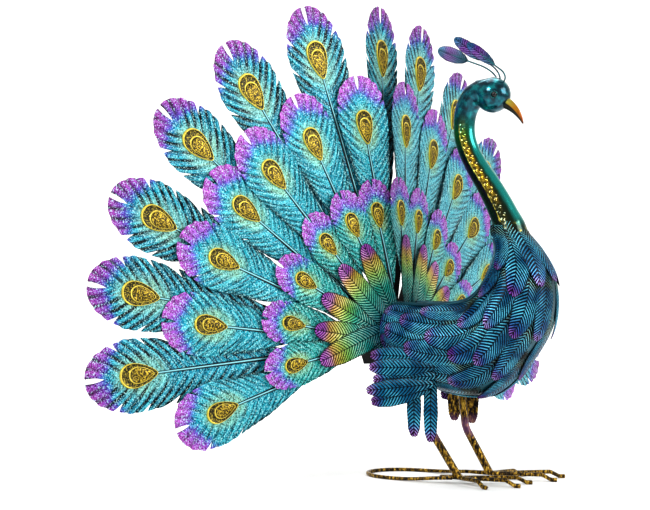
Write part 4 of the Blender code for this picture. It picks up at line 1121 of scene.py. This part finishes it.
for number, (*knots, half_width) in enumerate(CREST_PLUMES, 1):
    foot, bend, leaf_root, leaf_tip = (Vector(knot) * MM + BIRD for knot in knots)
    along = leaf_tip - leaf_root
    stretch = along.length / MM / CREST_LEAF_LENGTH
    along.normalize()
    facing = along.cross(UP).normalized()
    if facing.y > 0:
        facing.negate()
    leaf = laid_leaf(crest_master, "leaf", leaf_tip, along, facing, -CREST_LEAF_SINK,
                     half_width / CREST_LEAF_HALF, stretch)
    start = foot - (bend - foot).normalized() * CREST_WIRE_DEEP * MM
    wire = rod("wire", [start, bend, leaf_root, leaf_root.lerp(leaf_tip, CREST_WIRE_LAP)],
               [CREST_WIRE * MM] * 3 + [CREST_WIRE_END * MM], wire_enamel)
    plume = join([leaf, wire], f"crest_plume_{number}_painted")
    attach(plume, "root")
    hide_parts(f"crest_plume_{number}")
bpy.data.objects.remove(crest_master)

# Legs and the loop behind them. Steel rod, bent, flattened at the claws and welded at the ankle,
# with soft fillets of weld. Antique gold rubbed over black, so that dark streaks stay in it, and
# overspray of the body's violet round the knee.
WELD_VOXEL = 0.7
WELD_ROUNDS = 6
WEAR_MM = 2.08333
KNEE_HEIGHT = 51.0
KNEE_FADE = (4.0, 12.0)
antique_gold, node, shader = new_material("antique_gold_over_black")
world_place = node("TexCoord").outputs["Object"]
long_way = node("Mapping", {0: world_place, "Scale": (1.0, 1.0, 0.35)})
wear = node("TexNoise", {"Vector": long_way, "Scale": 1000.0 / WEAR_MM, "Detail": 4.0, "Roughness": 0.65})
colour = node("ValToRGB", [wear], ((0.38, "#080603"), (0.48, "#2E200A"), (0.56, "#94701E"),
                                   (0.68, "#E2BC50")))
knee = node("Math", [node("SeparateXYZ", [world_place]).outputs[2], KNEE_HEIGHT * MM], operation="SUBTRACT")
knee = node("Math", [knee], operation="ABSOLUTE")
knee = node("MapRange", [knee, KNEE_FADE[0] * MM, KNEE_FADE[1] * MM, 0.5, 0.0])
colour = node("MixRGB", [knee, colour, "#8A5A86"])
bump = node("Bump", {"Height": wear, "Distance": 1.0 * MM, "Strength": 0.7})
fill(shader, {"Base Color": colour, "Metallic": 0.7, "Roughness": 0.38, "Normal": bump})

# Each copies its node's form, with corners and joints softened as by welding and rolling.
for node_name in ("leg_right", "leg_left", "base_loop"):
    gilt = put_in_scene(f"{node_name}_gilt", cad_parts[node_name].data.copy())
    mend_mesh(0.01, turn_out=False)
    remesh = gilt.modifiers.new("remesh", "REMESH")
    remesh.mode = "VOXEL"
    remesh.voxel_size = WELD_VOXEL * MM
    bpy.ops.object.modifier_apply(modifier="remesh")
    soften = gilt.modifiers.new("soften", "SMOOTH")
    soften.factor = 0.5
    soften.iterations = WELD_ROUNDS
    bpy.ops.object.modifier_apply(modifier="soften")
    bpy.ops.object.shade_smooth()
    gilt.data.materials.clear()
    gilt.data.materials.append(antique_gold)
    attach(gilt, "root")
    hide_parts(node_name)

# Wings and thigh feathers. Long pressed leaves with barbs, welded beside the body, teal with a
# black midrib and violet tips. Tips and roots of the wing leaves are (x, z) on the right side.
WING_REAR = -91.0
WING_REAR_Y = 48.5
WING_FRONT = -20.0
WING_FRONT_Y = 53.0
LEFT_WING_AHEAD = 31.0
WING_TIPS = ((-90, 124), (-91, 112), (-87, 100), (-94, 89), (-89, 78))
WING_ROOTS = ((-26, 124), (-22, 114), (-20, 106), (-22, 98), (-28, 92))
WING_LOBES = ((((0.3, 0.8), (1.5, 3.4), (8, 6.4), (22, 8.6), (42, 8.2), (66, 3.0)), 18),)
WING_LENGTH = 66.0
WING_RELIEF = 0.5
WING_TOOTH = 0.4
THIGH_LEAVES = {-1: ((-44.0, 45.3), (-26.5, 41.0)), 1: ((-40.5, 53.0), (-21.5, 51.0))}
THIGH_TOP = 118.0
THIGH_Y = 46.0
THIGH_LOBES = ((((0.3, 0.8), (2, 3.6), (9, 6.2), (28, 7.6), (56, 6.6), (76, 2.6)), 20),)
THIGH_LENGTH = 76.0
THIGH_TOOTH = 0.3
wing_enamel = leaf_enamel(
    "wing_enamel",
    ((0.0, "#C04CB4"), (0.1, "#A044B4"), (0.17, "#3858AC"), (0.25, "#0890B8"), (0.6, "#0688B0"),
     (1.0, "#045C80")),
    reach=WING_LENGTH, groove="#01080C", ridge="#2C7898", crown_highlight="#8CE8F4", groove_share=0.28)
wing_master = pressed_vane("wing_master", WING_LOBES, LEAF_SLOT, WING_RELIEF, WING_TOOTH, wing_enamel,
                           LEAF_LEAN, steps=4, rows_per_ridge=5)
thigh_master = pressed_vane("thigh_master", THIGH_LOBES, LEAF_SLOT, WING_RELIEF, THIGH_TOOTH, wing_enamel,
                            LEAF_LEAN, steps=4, rows_per_ridge=5)
for side, side_name in ((-1, "right"), (1, "left")):
    ahead = LEFT_WING_AHEAD if side > 0 else 0.0
    rear = Vector((WING_REAR, side * WING_REAR_Y, 0.0))
    forward = (Vector((WING_FRONT, side * WING_FRONT_Y, 0.0)) - rear).normalized()
    outward = Vector((-forward.y, forward.x, 0.0)) * side
    leaves = []
    for number, ends in enumerate(zip(WING_ROOTS, WING_TIPS)):
        root, tip = (rear + forward * ((x + ahead - WING_REAR) / forward.x) + UP * z for x, z in ends)
        leaves.append(laid_leaf(wing_master, "leaf", tip * MM + BIRD, (tip - root).normalized(), outward,
                                number % 2 * SMALL_PITCH, long=(tip - root).length / WING_LENGTH))
    wing = join(leaves, f"wing_{side_name}_painted")
    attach(wing, "root")
    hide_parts(f"wing_{side_name}")
    for number, (x, tip_z) in enumerate(THIGH_LEAVES[side], 1):
        tip = Vector((x, side * THIGH_Y, tip_z)) * MM + BIRD
        thigh = laid_leaf(thigh_master, f"thigh_feather_{side_name}_{number}_painted", tip, -UP,
                          Vector((0.0, side, 0.0)), long=(THIGH_TOP - tip_z) / THIGH_LENGTH)
        # Their inner faces are left in the gold rubbed over black.
        thigh.data.materials.append(antique_gold)
        for face in thigh.data.polygons:
            face.material_index = int(face.normal.y * side < 0)
        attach(thigh, "root")
        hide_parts(f"thigh_feather_{side_name}_{number}")
bpy.data.objects.remove(wing_master)
bpy.data.objects.remove(thigh_master)
